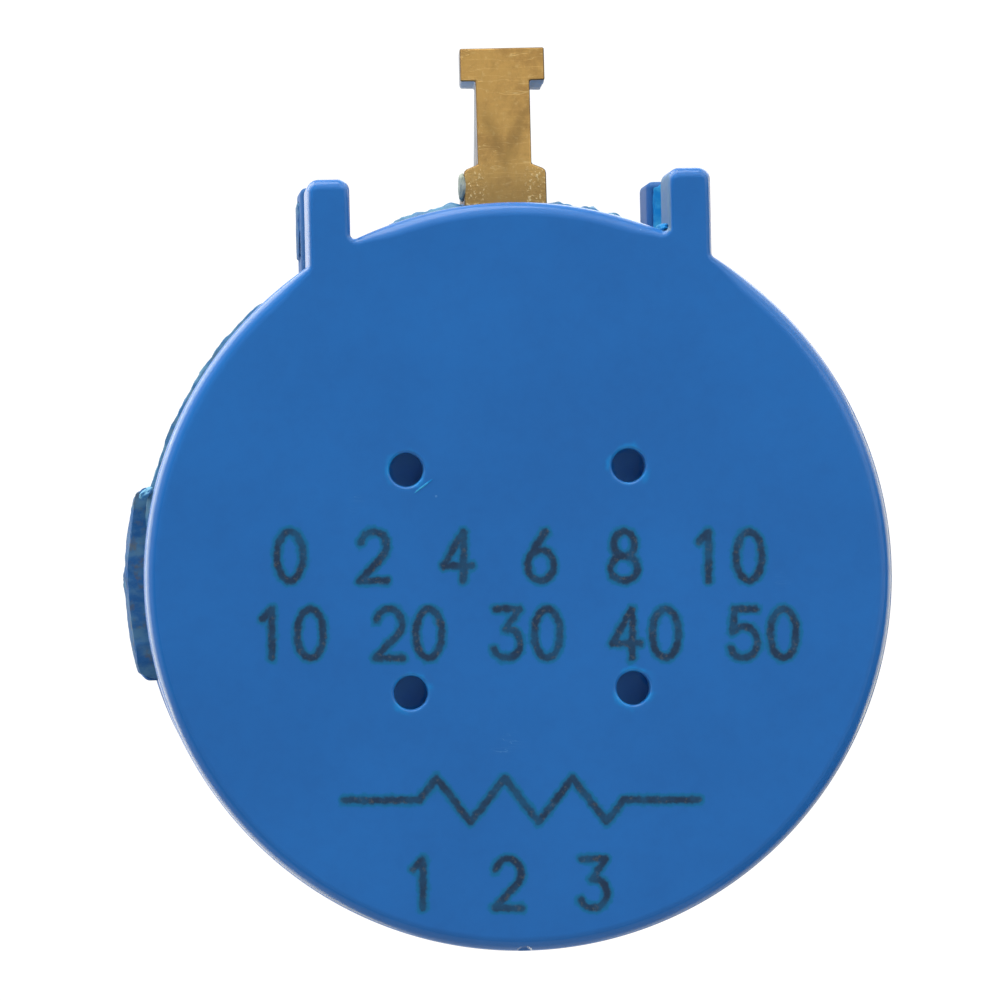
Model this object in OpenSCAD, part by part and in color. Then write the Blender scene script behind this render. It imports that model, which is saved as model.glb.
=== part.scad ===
// Ten-turn wirewound precision potentiometer, 7/8 inch body, panel bushing and side terminals.
// The shaft lies along +Y, the terminals point up (+Z), and the origin is the centre of the
// mounting face. All sizes are in millimetres.

/* [Body] */
// Length of the body from the mounting face to the rear face
body_len = 19.05; // [18.4:0.05:22]
// Diameter of the main housing
housing_d = 22.06; // [21.8:0.02:23.6]
// Radial wall of the main housing
wall = 1.43; // [1.3:0.01:1.55]
// Thickness of the front wall that carries the bushing
front_wall = 1.4; // [1.3:0.05:1.8]
// Radius on the front edge of the housing
front_edge_r = 0.4; // [0.1:0.05:0.7]
// How far the rear cap stands proud of the housing all round
cap_lip = 0.08; // [0.02:0.01:0.2]
// Thickness of the rear cap
cap_len = 2.9; // [2.7:0.05:3.2]
// Radius on the rear edge of the cap
cap_edge_r = 0.45; // [0.1:0.05:0.8]
// Length of the cap's spigot inside the housing
spigot_len = 0.7; // [0.4:0.05:0.8]
// Radial wall of the spigot
spigot_wall = 0.7; // [0.5:0.05:0.8]
// Radial clearance of the spigot in the housing
spigot_clear = 0.03; // [0.01:0.01:0.08]

/* [Rear holes] */
// Diameter of the four blind holes in the rear face
rear_hole_d = 1; // [0.6:0.1:1.6]
// Distance between the blind holes along each side of their square
rear_hole_pitch = 6.6; // [5:0.1:9]
// Depth of the blind holes
rear_hole_depth = 1; // [0.4:0.1:1.1]

/* [Feet] */
// Width of a foot
foot_w = 1.26; // [0.9:0.02:1.6]
// Distance between the left and right feet, centre to centre
foot_pitch = 10.72; // [8.8:0.02:12]
// Distance from the shaft axis to the tops of the cap's feet
rear_foot_top = 12; // [11.8:0.05:13]
// Distance from the shaft axis to the tops of the housing's feet
front_foot_top = 12.1; // [11.8:0.05:13]
// Thickness of the housing's feet along the shaft
front_foot_len = 2.9; // [1.5:0.1:3.5]
// Distance from the rear face to the housing's feet
front_foot_setback = 9.3; // [7:0.1:11]
// Radius on the top corners of the feet
foot_corner_r = 0.16; // [0.05:0.01:0.3]

/* [Side pad] */
// Height of the pad above the housing
pad_rise = 0.47; // [0.3:0.01:0.8]
// Width of the pad across the housing's side
pad_w = 5.8; // [4.8:0.1:7]
// Length of the pad along the shaft
pad_len = 11; // [9:0.1:12]
// Distance from the rear face to the pad
pad_setback = 4; // [3.6:0.1:5]
// Width of the pocket in the pad
pocket_w = 3.4; // [2:0.1:4]
// Length of the pocket in the pad
pocket_len = 8; // [5:0.1:8.4]
// Depth of the pocket below the pad's surface
pocket_depth = 1.2; // [0.8:0.05:1.25]
// How far the cured filling stands above the pad
filling_rise = 0.1; // [0.04:0.01:0.2]

/* [Bushing] */
// Major diameter of the bushing's thread
bushing_d = 9.525; // [9.3:0.005:10.5]
// Length of the bushing in front of the mounting face
bushing_len = 7.92; // [5:0.01:10]
// Chamfer on the front end of the bushing
bushing_chamfer = 0.4; // [0.1:0.05:0.6]
// Plain length of the bushing between the mounting face and its thread
bushing_neck = 0.65; // [0.4:0.05:1]
// Pitch of the bushing's thread
thread_pitch = 0.79375; // [0.7:0.00625:1.2]
// Depth of the bushing's thread
thread_depth = 0.46; // [0.3:0.02:0.5]
// Diameter of the bushing's knurled root inside the front wall
bushing_root_d = 11; // [10.6:0.1:11.6]
// Diameter of the flange that keys the bushing into the front wall
bushing_flange_d = 13; // [12.2:0.1:14]
// Thickness of that flange
bushing_flange_t = 0.6; // [0.4:0.05:0.7]

/* [Shaft] */
// Diameter of the shaft
shaft_d = 6.35; // [6:0.01:6.6]
// Distance from the mounting face to the shaft's end
shaft_reach = 20.62; // [14:0.02:26]
// Chamfer on the shaft's end
shaft_chamfer = 0.4; // [0.1:0.05:0.8]
// Radial clearance of the shaft in the bushing
shaft_clear = 0.025; // [0.015:0.005:0.05]
// Diameter of the shaft where it carries the rotor hub
core_d = 4.8; // [4.4:0.1:5.2]
// Diameter of the rear journal
journal_d = 3; // [2:0.1:3.6]
// Radial clearance of the rear journal in the cap
journal_clear = 0.03; // [0.015:0.005:0.06]
// Depth of the journal's bore in the cap
journal_depth = 1; // [0.8:0.05:1.05]
// Axial clearance at the shaft's thrust faces
end_float = 0.04; // [0.02:0.01:0.08]

/* [Retaining ring and washers] */
// Outer diameter of the retaining ring
ring_d = 8.8; // [8:0.1:9.1]
// Thickness of the retaining ring
ring_t = 0.6; // [0.4:0.05:0.8]
// Depth of the ring's groove in the shaft
groove_depth = 0.33; // [0.2:0.01:0.5]
// Width of the gap in the retaining ring
ring_gap = 2.6; // [1.5:0.1:4]
// Thickness of the thrust washer
thrust_washer_t = 0.25; // [0.15:0.05:0.5]
// Outer diameter of the thrust washer
thrust_washer_d = 9; // [8:0.1:9.2]
// Thickness of the spacer washer inside the front wall
spacer_t = 0.25; // [0.15:0.05:0.4]
// Outer diameter of the spacer washer
spacer_d = 8.4; // [7.6:0.1:8.6]

/* [Resistance element] */
// Turns of the element, and of the shaft
turns = 10; // [8:1:10]
// Diameter of the wound element
element_d = 0.68; // [0.5:0.02:0.7]
// Gap between the element and the bore that it is bonded into
seat_gap = 0.04; // [0.02:0.01:0.08]
// How far the element runs on past each end of the travel, in degrees
element_overrun = 8; // [4:1:15]
// Room between the front wall and the first turn
front_room = 1; // [0.95:0.05:1.2]
// Room between the last turn and the face of the cap
rear_room = 1.75; // [1.7:0.05:2]

/* [Terminals] */
// Width of the terminal's head and foot flare
flare_w = 2.47; // [2.1:0.01:2.8]
// Width of the terminal's neck
neck_w = 1.58; // [1.2:0.02:1.8]
// Height of the terminal's head
head_h = 1; // [0.6:0.05:1.5]
// Height of the foot flare above the housing
foot_flare_h = 1.28; // [0.8:0.02:1.8]
// Height of the slope on the foot flare's shoulders
shoulder_h = 0.22; // [0.1:0.02:0.4]
// Thickness of the terminals
terminal_t = 1; // [0.8:0.05:1.1]
// Distance from the shaft axis to the tip of the rear terminal
terminal_reach = 15.86; // [14.5:0.02:18]
// Distance between neighbouring terminals
terminal_pitch = 5.08; // [4.6:0.02:5.3]
// Angle at which the terminals lean towards the front
terminal_lean = 5; // [0:0.5:6]
// Extra length of each terminal in front of the rear one
terminal_growth = 0.27; // [0:0.01:0.3]
// Sideways step of each terminal's foot in front of the rear one
terminal_step = 0.2; // [0:0.01:0.25]
// Angle by which each terminal leans sideways more than the one behind it
terminal_splay = 1; // [0:0.1:2.2]
// Sideways clearance of a terminal in its slot
slot_clear = 0.05; // [0.03:0.01:0.1]

/* [Terminal sealant] */
// Height of the cured sealant above the housing
sealant_rise = 0.24; // [0.12:0.01:0.4]
// Width of the sealant across the housing
sealant_w = 7.2; // [5:0.1:8]
// Room from the front terminal to the end of the sealant
sealant_margin = 0.9; // [0.4:0.1:1.4]

/* [End taps] */
// Width of the tap straps
tap_w = 0.9; // [0.6:0.05:1.1]
// Thickness of the tap straps
tap_t = 0.2; // [0.15:0.01:0.25]
// Depth of the taps' channel in the bore
channel_depth = 0.8; // [0.7:0.02:0.85]
// Clearance around a tap in its channel
tap_clear = 0.05; // [0.03:0.01:0.08]
// Length of the tab that meets the element
tab_len = 0.4; // [0.2:0.05:0.5]

/* [Rotor hub] */
// Diameter of the rotor hub
hub_d = 10.4; // [10.2:0.1:11]
// Width of the guide channel along the hub
guide_w = 2; // [1.8:0.1:2.4]
// Depth of the guide channel
guide_depth = 1.3; // [1.25:0.05:1.4]
// Axial gap between the hub and the face of the cap
hub_end_gap = 0.1; // [0.05:0.01:0.2]
// Width of the collector strip in the guide channel
collector_w = 1.2; // [0.8:0.1:1.4]
// Thickness of the collector strip
collector_t = 0.25; // [0.15:0.01:0.3]
// Gap where strips, leaves and plates lie against their carrier
lay_gap = 0.02; // [0.01:0.005:0.04]

/* [Slip ring and brush] */
// Diameter of the slip ring
slip_ring_d = 9.2; // [8.8:0.1:9.6]
// Diameter of the hub's neck inside the slip ring
hub_neck_d = 6.8; // [6.4:0.1:7.2]
// Width of the slip ring
slip_ring_w = 0.8; // [0.5:0.05:0.85]
// Depth of the recess in the cap around the slip ring
recess_depth = 1.35; // [1.3:0.01:1.4]
// Radial room around the slip ring in that recess
recess_room = 1; // [0.8:0.1:1.2]
// Width of the brush leaf
brush_w = 1.2; // [0.8:0.1:1.3]
// How far the brush leaf laps up the rear terminal's foot
brush_lap = 0.3; // [0.2:0.01:0.35]
// Thickness of the brush leaf
brush_t = 0.2; // [0.12:0.01:0.25]
// Thickness of the brush's contact tip
brush_tip_t = 0.24; // [0.15:0.01:0.4]
// Gap at the sliding contacts, which the springs close
contact_gap = 0.06; // [0.04:0.01:0.08]
// Clearance around the brush in its groove
groove_clear = 0.12; // [0.08:0.01:0.15]

/* [Carriage] */
// Width of the carriage across the hub
carriage_w = 3.8; // [3:0.1:3.9]
// Length of the carriage along the shaft
carriage_len = 2; // [1.9:0.05:2.05]
// Clearance of the carriage on the hub and in its guide channel
carriage_clear = 0.12; // [0.08:0.01:0.14]
// Gap between the fork's fingers and the element
fork_clear = 0.12; // [0.1:0.01:0.13]
// Width of the fork's fingers
fork_w = 1; // [0.6:0.05:1.4]
// Gap between the fork's tips and the bore
fork_tip_gap = 0.3; // [0.25:0.01:0.4]
// Radial room between the carriage and the inner side of the element
carriage_room = 0.53; // [0.5:0.01:0.6]
// Thickness of the contact springs on the carriage
spring_t = 0.12; // [0.1:0.01:0.15]
// Length of the wiper's spring across the carriage
wiper_len = 3; // [2:0.1:3.2]
// Diameter of the wiper's contact point
wiper_d = 0.44; // [0.3:0.02:0.5]
// Length of the collector contact along the shaft
contact_len = 1.5; // [1:0.1:1.6]
// Width of the collector contact
contact_w = 1; // [0.6:0.1:1.2]

/* [End stops] */
// Gap between the carriage and a stop at the end of its travel
stop_gap = 0.3; // [0.2:0.05:0.4]
// Width of a stop rib
stop_w = 1.1; // [0.8:0.1:1.2]
// Radial height of a stop rib
stop_h = 1.8; // [1.2:0.1:1.9]
// Radial room between the hub and a stop rib
stop_hub_room = 0.9; // [0.8:0.1:1]
// How far the front stop stands out from the front wall
front_stop_len = 0.8; // [0.6:0.05:0.9]
// How far the rear stop stands out from the cap
rear_stop_len = 1.1; // [0.9:0.05:1.15]

/* [Hidden] */

$fn = 96;
// Overshoot of cuts past the faces that they open
cut = 0.5;
// How far ribs and slots run into what they stand on or open into
root = 0.3;
// Flat width of the thread at its crests and at the bottom of its grooves
thread_flat = 0.13;
// Steps of the element around one turn, and sides of its section
element_steps = 24;
element_sides = 8;

// Places along the shaft
rear_y = -body_len;
seam_y = rear_y + cap_len;
cavity_y = -front_wall;
first_turn_y = cavity_y - front_room;
last_turn_y = seam_y + rear_room;
lead = (first_turn_y - last_turn_y) / turns;
front_foot_y = rear_y + front_foot_setback;
pad_y = rear_y + pad_setback;
recess_y = seam_y - recess_depth;
journal_end_y = recess_y - journal_depth;
washer_y = bushing_len + end_float;
ring_y = washer_y + thrust_washer_t + end_float;
spacer_y = cavity_y - end_float - spacer_t;
hub_front_y = spacer_y - end_float;
hub_rear_y = seam_y + hub_end_gap;
slip_ring_y = hub_rear_y - hub_end_gap - 2 * lay_gap - slip_ring_w;
hub_neck_y = slip_ring_y - 2 * hub_end_gap;

// Radii about the shaft axis
housing_r = housing_d / 2;
cap_r = housing_r + cap_lip;
bore_r = housing_r - wall;
pad_r = housing_r + pad_rise;
element_ring_r = bore_r - seat_gap - element_d / 2;
element_inner_r = element_ring_r - element_d / 2;
spigot_r = bore_r - spigot_clear;
shaft_r = shaft_d / 2;
groove_r = shaft_r - groove_depth;
hub_r = hub_d / 2;
guide_floor_r = hub_r - guide_depth;
slip_ring_r = slip_ring_d / 2;
recess_r = slip_ring_r + recess_room;
channel_r = bore_r + channel_depth;
carriage_top = element_inner_r - carriage_room;

// Terminals, counted from the rear
terminal_foot_z = channel_r - tap_clear / 2;
brush_top_z = terminal_foot_z + brush_lap;
function terminal_y(i) = seam_y + i * terminal_pitch;
function terminal_x(i) = i * terminal_step;

// Carriage at the start of its travel, straight above the shaft
fork_t = lead - element_d - 2 * fork_clear;
carriage_front = lead / 2 + fork_t / 2;
key_bottom = guide_floor_r + lay_gap + collector_t + contact_gap + 2 * spring_t + lay_gap;
stop_z = hub_r + stop_hub_room;
stop_x = carriage_w / 2 + stop_gap;

// A solid turned about the shaft axis between two places along it
module turned(y0, y1, r0, r1) {
    translate([0, y0, 0]) rotate([-90, 0, 0]) cylinder(h = y1 - y0, r1 = r0, r2 = r1);
}

module rod(y0, y1, r) {
    turned(y0, y1, r, r);
}

// A block from two opposite corners
module block(low, high) {
    translate(low) cube(high - low);
}

// A tube wall's stretch inside a block
module wall_patch(inner_r, outer_r, low, high) {
    intersection() {
        difference() {
            rod(low[1], high[1], outer_r);
            rod(low[1] - cut, high[1] + cut, inner_r);
        }
        block(low, high);
    }
}

// A round plug with a rounded edge at its rear or front end
module rounded_plug(y0, y1, r, rear_edge, front_edge) {
    translate([0, y0, 0]) rotate([-90, 0, 0]) rotate_extrude() difference() {
        square([r, y1 - y0]);
        if (rear_edge > 0) edge_cut(r, 0, rear_edge, 1);
        if (front_edge > 0) edge_cut(r, y1 - y0, front_edge, -1);
    }
}

// What a rounded edge takes off a square corner; side is 1 at the low end
module edge_cut(r, y, edge, side) {
    difference() {
        translate([r - edge, side > 0 ? y - cut : y - edge]) square([edge + cut, edge + cut]);
        translate([r - edge, y + side * edge]) circle(r = edge);
        translate([r - edge - cut, side > 0 ? y + edge : y - edge - 3 * cut])
            square([edge + 3 * cut, 3 * cut]);
    }
}

// One foot: a flat post with round top corners that rises from inside the wall
module foot(x, y0, len, top) {
    half = foot_w / 2;
    translate([x, y0 + len, 0]) rotate([90, 0, 0]) linear_extrude(len) {
        translate([-half, recess_r]) square([foot_w, top - foot_corner_r - recess_r]);
        translate([-half + foot_corner_r, recess_r])
            square([foot_w - 2 * foot_corner_r, top - recess_r]);
        for (side = [-1, 1])
            translate([side * (half - foot_corner_r), top - foot_corner_r])
                circle(r = foot_corner_r, $fn = 32);
    }
}

module housing() color("#2b64ab") {
    difference() {
        union() {
            rounded_plug(seam_y, 0, housing_r, 0, front_edge_r);
            for (side = [-1, 1])
                foot(side * foot_pitch / 2, front_foot_y, front_foot_len, front_foot_top);
            wall_patch(bore_r, pad_r, [-pad_r - cut, pad_y, -pad_w / 2],
                [0, pad_y + pad_len, pad_w / 2]);
        }
        rod(seam_y - cut, cavity_y, bore_r);
        bushing_body();
        pad_pocket();
        terminal_slots();
        tap_channel();
    }
    front_stop();
}

module pad_pocket() {
    spare = (pad_len - pocket_len) / 2;
    wall_patch(pad_r - pocket_depth, pad_r + cut, [-pad_r - cut, pad_y + spare, -pocket_w / 2],
        [0, pad_y + pad_len - spare, pocket_w / 2]);
}

module terminal_slots() {
    half = neck_w / 2 + slot_clear;
    for (i = [0:2])
        block([terminal_x(i) - half, i == 0 ? seam_y - cut : terminal_y(i) - slot_clear, bore_r - root],
            [terminal_x(i) + half, terminal_y(i) + terminal_t + slot_clear, housing_r + cut]);
}

// Channel along the top of the bore for the two taps
module tap_channel() {
    half = tap_w / 2 + terminal_x(2) / 2 + tap_clear;
    block([-half + terminal_x(2) / 2, last_turn_y - tab_len, bore_r - root],
        [half + terminal_x(2) / 2, first_turn_y + tab_len, channel_r]);
}

// Rib inside the front wall that the carriage meets at the start of its travel
module front_stop() {
    block([stop_x, cavity_y - front_stop_len, stop_z],
        [stop_x + stop_w, cavity_y + root, stop_z + stop_h]);
}

module rear_cap() color("#2f6bb3") {
    difference() {
        union() {
            rounded_plug(rear_y, seam_y, cap_r, cap_edge_r, 0);
            for (side = [-1, 1])
                foot(side * foot_pitch / 2, rear_y, cap_len, rear_foot_top);
            rod(seam_y, seam_y + spigot_len, spigot_r);
        }
        rod(seam_y, seam_y + spigot_len + cut, spigot_r - spigot_wall);
        rod(recess_y, seam_y + cut, recess_r);
        rod(journal_end_y, seam_y, journal_d / 2 + journal_clear);
        rear_holes();
        brush_groove();
    }
    rear_stop();
}

module rear_holes() {
    for (x = [-1, 1], z = [-1, 1])
        translate([x * rear_hole_pitch / 2, 0, z * rear_hole_pitch / 2])
            rod(rear_y - cut, rear_y + rear_hole_depth, rear_hole_d / 2);
}

// Groove in the cap's face that holds the brush leaf
module brush_groove() {
    half = brush_w / 2 + groove_clear;
    block([-half, seam_y - brush_t - 2 * lay_gap - groove_clear, slip_ring_r],
        [half, seam_y + cut, brush_top_z + groove_clear]);
}

// Rib on the cap that the carriage meets at the end of its travel
module rear_stop() {
    block([-stop_x - stop_w, seam_y - root, stop_z],
        [-stop_x, seam_y + rear_stop_len, stop_z + stop_h]);
}

module bushing() color("#c9c6bb") {
    difference() {
        bushing_body();
        rod(cavity_y - cut, bushing_len + cut, shaft_r + shaft_clear);
        thread_grooves();
    }
}

// The thread's grooves, each a closed ring, one pitch apart
module thread_grooves() {
    threaded = bushing_len - bushing_chamfer - bushing_neck;
    bottom = bushing_d / 2 - thread_depth;
    flank = thread_pitch / 2 - thread_flat;
    mouth = thread_flat / 2 + flank * (thread_depth + cut) / thread_depth;
    for (i = [0:floor(threaded / thread_pitch) - 1])
        translate([0, bushing_neck + (i + 0.5) * thread_pitch, 0]) rotate([-90, 0, 0])
            rotate_extrude() polygon([[bottom, -thread_flat / 2], [bottom + thread_depth + cut, -mouth],
                [bottom + thread_depth + cut, mouth], [bottom, thread_flat / 2]]);
}

// Outer form of the bushing, which is also its seat in the front wall
module bushing_body() {
    flange_y = (cavity_y - bushing_flange_t) / 2;
    rod(cavity_y, 0, bushing_root_d / 2);
    rod(flange_y, flange_y + bushing_flange_t, bushing_flange_d / 2);
    rod(-cut, bushing_len - bushing_chamfer, bushing_d / 2);
    turned(bushing_len - bushing_chamfer, bushing_len, bushing_d / 2,
        bushing_d / 2 - bushing_chamfer);
}

// One flat terminal: a foot in the wall, a flared base, a neck and a head
module terminal(i) {
    tip = terminal_reach + i * terminal_growth - housing_r;
    base = flare_w / 2;
    neck = neck_w / 2;
    raised = terminal_t * sin(terminal_lean);
    translate([terminal_x(i), terminal_y(i), 0]) {
        block([-neck, 0, terminal_foot_z], [neck, terminal_t, housing_r + raised + lay_gap]);
        translate([0, terminal_t, housing_r]) rotate([-terminal_lean, i * terminal_splay, 0])
            rotate([90, 0, 0]) linear_extrude(terminal_t)
                polygon([[-base, 0], [base, 0], [base, foot_flare_h - shoulder_h],
                    [neck, foot_flare_h], [neck, tip - head_h], [base, tip - head_h],
                    [base, tip], [-base, tip], [-base, tip - head_h], [-neck, tip - head_h],
                    [-neck, foot_flare_h], [-base, foot_flare_h - shoulder_h]]);
    }
}

module terminal_front() color("#c49a4c") terminal(2);
module terminal_middle() color("#c49a4c") terminal(1);
module terminal_rear() color("#c49a4c") terminal(0);

// Cured sealant over the terminals' slots
module terminal_sealant() color("#3a93b8") {
    front_y = terminal_y(2) + terminal_t + sealant_margin;
    half = flare_w / 2 + slot_clear;
    difference() {
        wall_patch(housing_r, housing_r + sealant_rise, [-sealant_w / 2, seam_y, 0],
            [sealant_w / 2, front_y, housing_r + sealant_rise + cut]);
        for (i = [0:2])
            block([terminal_x(i) - half, terminal_y(i) - slot_clear, housing_r - cut],
                [terminal_x(i) + half, terminal_y(i) + terminal_t + 2 * slot_clear,
                    housing_r + sealant_rise + cut]);
    }
}

// Cured filling of the pad's pocket
module pad_sealant() color("#3d7f99") {
    spare = (pad_len - pocket_len) / 2;
    wall_patch(pad_r - pocket_depth, pad_r + filling_rise,
        [-pad_r - cut, pad_y + spare, -pocket_w / 2],
        [0, pad_y + pad_len - spare, pocket_w / 2]);
}

// A point on the element's skin: step along the helix, side around its section
function element_point(step, side) =
    let (sweep = step * 360 / element_steps,
        around = side * 360 / element_sides,
        r = element_ring_r + cos(around) * element_d / 2)
    [-r * sin(sweep), first_turn_y - lead * sweep / 360 + sin(around) * element_d / 2,
        r * cos(sweep)];

// Number of that point in the list of all of them
function skin_at(ring, side) = ring * element_sides + side % element_sides;

module resistance_element() color("#8a6a45") {
    extra = element_overrun / 360 * element_steps;
    last = turns * element_steps;
    places = concat([-extra], [for (step = [1:last - 1]) step], [last + extra]);
    rings = len(places);
    points = [for (place = places, side = [0:element_sides - 1]) element_point(place, side)];
    skin = [for (ring = [0:rings - 2], side = [0:element_sides - 1])
        each [[skin_at(ring, side), skin_at(ring, side + 1), skin_at(ring + 1, side + 1)],
            [skin_at(ring, side), skin_at(ring + 1, side + 1), skin_at(ring + 1, side)]]];
    start_cap = [[for (side = [element_sides - 1:-1:0]) skin_at(0, side)]];
    end_cap = [[for (side = [0:element_sides - 1]) skin_at(rings - 1, side)]];
    polyhedron(points, concat(skin, start_cap, end_cap));
}

// A strap in the channel from a terminal's foot to one end of the element, with a tab
module end_tap(terminal, tab_y, strap_y0, strap_y1) {
    x = terminal_x(terminal);
    half = tap_w / 2;
    top = terminal_foot_z - lay_gap;
    color("#b9b4a2") {
        block([min(0, x) - half, strap_y0, top - tap_t], [max(0, x) + half, strap_y1, top]);
        block([-half, tab_y - tab_len / 2, bore_r], [half, tab_y + tab_len / 2, top]);
    }
}

module end_tap_front() {
    end_tap(2, first_turn_y, terminal_y(2), first_turn_y + tab_len / 2);
}

module end_tap_rear() {
    end_tap(1, last_turn_y, last_turn_y - tab_len / 2, terminal_y(1) + terminal_t);
}

// Leaf from the rear terminal down to the slip ring
module wiper_brush() color("#c9a765") {
    half = brush_w / 2;
    y1 = seam_y - lay_gap;
    tip_z = slip_ring_r + contact_gap;
    block([-half, y1 - brush_t, tip_z], [half, y1, brush_top_z]);
    block([-half, slip_ring_y, tip_z], [half, y1, tip_z + brush_tip_t]);
}

module shaft() color("#b8bbbf") {
    difference() {
        union() {
            rod(hub_front_y, shaft_reach - shaft_chamfer, shaft_r);
            turned(shaft_reach - shaft_chamfer, shaft_reach, shaft_r, shaft_r - shaft_chamfer);
            rod(hub_neck_y, hub_front_y, core_d / 2);
            rod(journal_end_y + hub_end_gap, hub_neck_y, journal_d / 2);
        }
        difference() {
            rod(ring_y, ring_y + ring_t, shaft_r + cut);
            rod(ring_y - cut, ring_y + ring_t + cut, groove_r);
        }
    }
}

// Open ring in the shaft's groove
module retaining_ring() color("#6f7478") {
    difference() {
        rod(ring_y + lay_gap, ring_y + ring_t - lay_gap, ring_d / 2);
        rod(ring_y - cut, ring_y + ring_t + cut, groove_r + lay_gap);
        block([-ring_gap / 2, ring_y - cut, 0], [ring_gap / 2, ring_y + ring_t + cut, ring_d]);
    }
}

module washer(y, t, outer_d) {
    difference() {
        rod(y, y + t, outer_d / 2);
        rod(y - cut, y + t + cut, shaft_r + 2 * shaft_clear);
    }
}

module thrust_washer() color("#a9abad") washer(washer_y, thrust_washer_t, thrust_washer_d);
module spacer_washer() color("#e4dfcf") washer(spacer_y, spacer_t, spacer_d);

// Moulded hub on the shaft, with the guide channel and a neck for the slip ring
module rotor_hub() color("#20242a") {
    difference() {
        union() {
            rod(hub_rear_y, hub_front_y, hub_r);
            rod(hub_neck_y, hub_rear_y, hub_neck_d / 2);
        }
        rod(hub_neck_y - cut, hub_front_y + cut, core_d / 2);
        block([-guide_w / 2, hub_rear_y - hub_end_gap - lay_gap, guide_floor_r],
            [guide_w / 2, hub_front_y + cut, hub_r + cut]);
    }
}

module collector_strip() color("#c9a765") {
    z = guide_floor_r + lay_gap;
    block([-collector_w / 2, slip_ring_y + slip_ring_w + lay_gap, z],
        [collector_w / 2, hub_front_y, z + collector_t]);
}

module slip_ring() color("#c9a765") {
    difference() {
        rod(slip_ring_y, slip_ring_y + slip_ring_w, slip_ring_r);
        rod(slip_ring_y - cut, slip_ring_y + slip_ring_w + cut, hub_neck_d / 2);
    }
}

// Slider that rides the hub's channel and straddles one turn of the element
module carriage() color("#e8e4d8") {
    front = first_turn_y + carriage_front;
    rear = front - carriage_len;
    half = carriage_w / 2;
    key_half = guide_w / 2 - carriage_clear;
    difference() {
        block([-half, rear, 0], [half, front, carriage_top]);
        rod(rear - cut, front + cut, hub_r + carriage_clear);
        block([-half - cut, rear - cut, -cut], [half + cut, front + cut, hub_r / 2]);
    }
    block([-key_half, rear, key_bottom], [key_half, front, hub_r + 2 * carriage_clear]);
    for (side = [-1, 1])
        translate([0, first_turn_y + side * lead / 2, 0])
            block([-fork_w / 2, -fork_t / 2, carriage_top],
                [fork_w / 2, fork_t / 2, bore_r - fork_tip_gap]);
}

// Spring across the carriage with the point that runs on the element
module wiper_contact() color("#d9b873") {
    z = carriage_top + lay_gap;
    half_len = lead / 2 - fork_t / 2 - fork_clear / 2;
    block([-wiper_len / 2, first_turn_y - half_len, z],
        [wiper_len / 2, first_turn_y + half_len, z + spring_t]);
    translate([0, first_turn_y, z])
        cylinder(h = element_inner_r * cos(180 / element_steps) - contact_gap - z,
            d = wiper_d, $fn = 32);
}

// Spring under the carriage's key with the point that runs on the collector strip
module collector_contact() color("#d9b873") {
    middle = first_turn_y + carriage_front - carriage_len / 2;
    top = key_bottom - lay_gap;
    block([-contact_w / 2, middle - contact_len / 2, top - spring_t],
        [contact_w / 2, middle + contact_len / 2, top]);
    translate([0, middle, top - 2 * spring_t]) cylinder(h = spring_t * 1.5, d = wiper_d, $fn = 32);
}

housing();
rear_cap();
bushing();
terminal_front();
terminal_middle();
terminal_rear();
terminal_sealant();
pad_sealant();
resistance_element();
end_tap_front();
end_tap_rear();
wiper_brush();
shaft();
retaining_ring();
thrust_washer();
spacer_washer();
rotor_hub();
collector_strip();
slip_ring();
carriage();
wiper_contact();
collector_contact();
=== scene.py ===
import math

import bmesh
import bpy
import numpy as np
from mathutils import Matrix, Quaternion, Vector, noise


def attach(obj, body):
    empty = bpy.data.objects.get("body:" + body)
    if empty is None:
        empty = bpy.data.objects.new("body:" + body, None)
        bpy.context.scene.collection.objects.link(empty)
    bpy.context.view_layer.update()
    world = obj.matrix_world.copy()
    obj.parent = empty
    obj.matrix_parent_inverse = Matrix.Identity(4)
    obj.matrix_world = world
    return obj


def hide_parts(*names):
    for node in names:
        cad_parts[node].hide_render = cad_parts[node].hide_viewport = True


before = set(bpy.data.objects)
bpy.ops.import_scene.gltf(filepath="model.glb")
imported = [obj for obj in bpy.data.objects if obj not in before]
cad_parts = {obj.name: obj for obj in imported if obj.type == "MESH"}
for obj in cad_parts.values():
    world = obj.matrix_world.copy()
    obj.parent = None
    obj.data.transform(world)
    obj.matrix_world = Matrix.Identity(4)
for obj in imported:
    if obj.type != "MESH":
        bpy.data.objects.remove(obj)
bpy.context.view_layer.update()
toMetres = 0.001  # pieces are modelled in millimetres and scaled when they are finished

# Camera, straight at the rear face and a little from the left
cameraSetup = {"place": (-13.55, -247.05, -0.11), "aim": (-0.529, -19.05, 2.254), "roll": -1.2,
               "lens": 277.35, "sensor": 36.0, "nearest": 0.01, "farthest": 5}


def aimObject(item, place, aim, roll=0.0):
    place, aim = Vector(place) * toMetres, Vector(aim) * toMetres
    turn = (aim - place).to_track_quat("-Z", "Y")
    bpy.context.scene.collection.objects.link(item)
    item.location = place
    item.rotation_mode = "QUATERNION"
    item.rotation_quaternion = turn @ Quaternion((0, 0, 1), math.radians(roll))


def addCamera(setup):
    data = bpy.data.cameras.new("mainCamera")
    data.lens = setup["lens"]
    data.sensor_width = setup["sensor"]
    data.clip_start = setup["nearest"]
    data.clip_end = setup["farthest"]
    camera = bpy.data.objects.new("mainCamera", data)
    aimObject(camera, setup["place"], setup["aim"], setup["roll"])
    bpy.context.scene.camera = camera


addCamera(cameraSetup)
print("camera placed")

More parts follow.
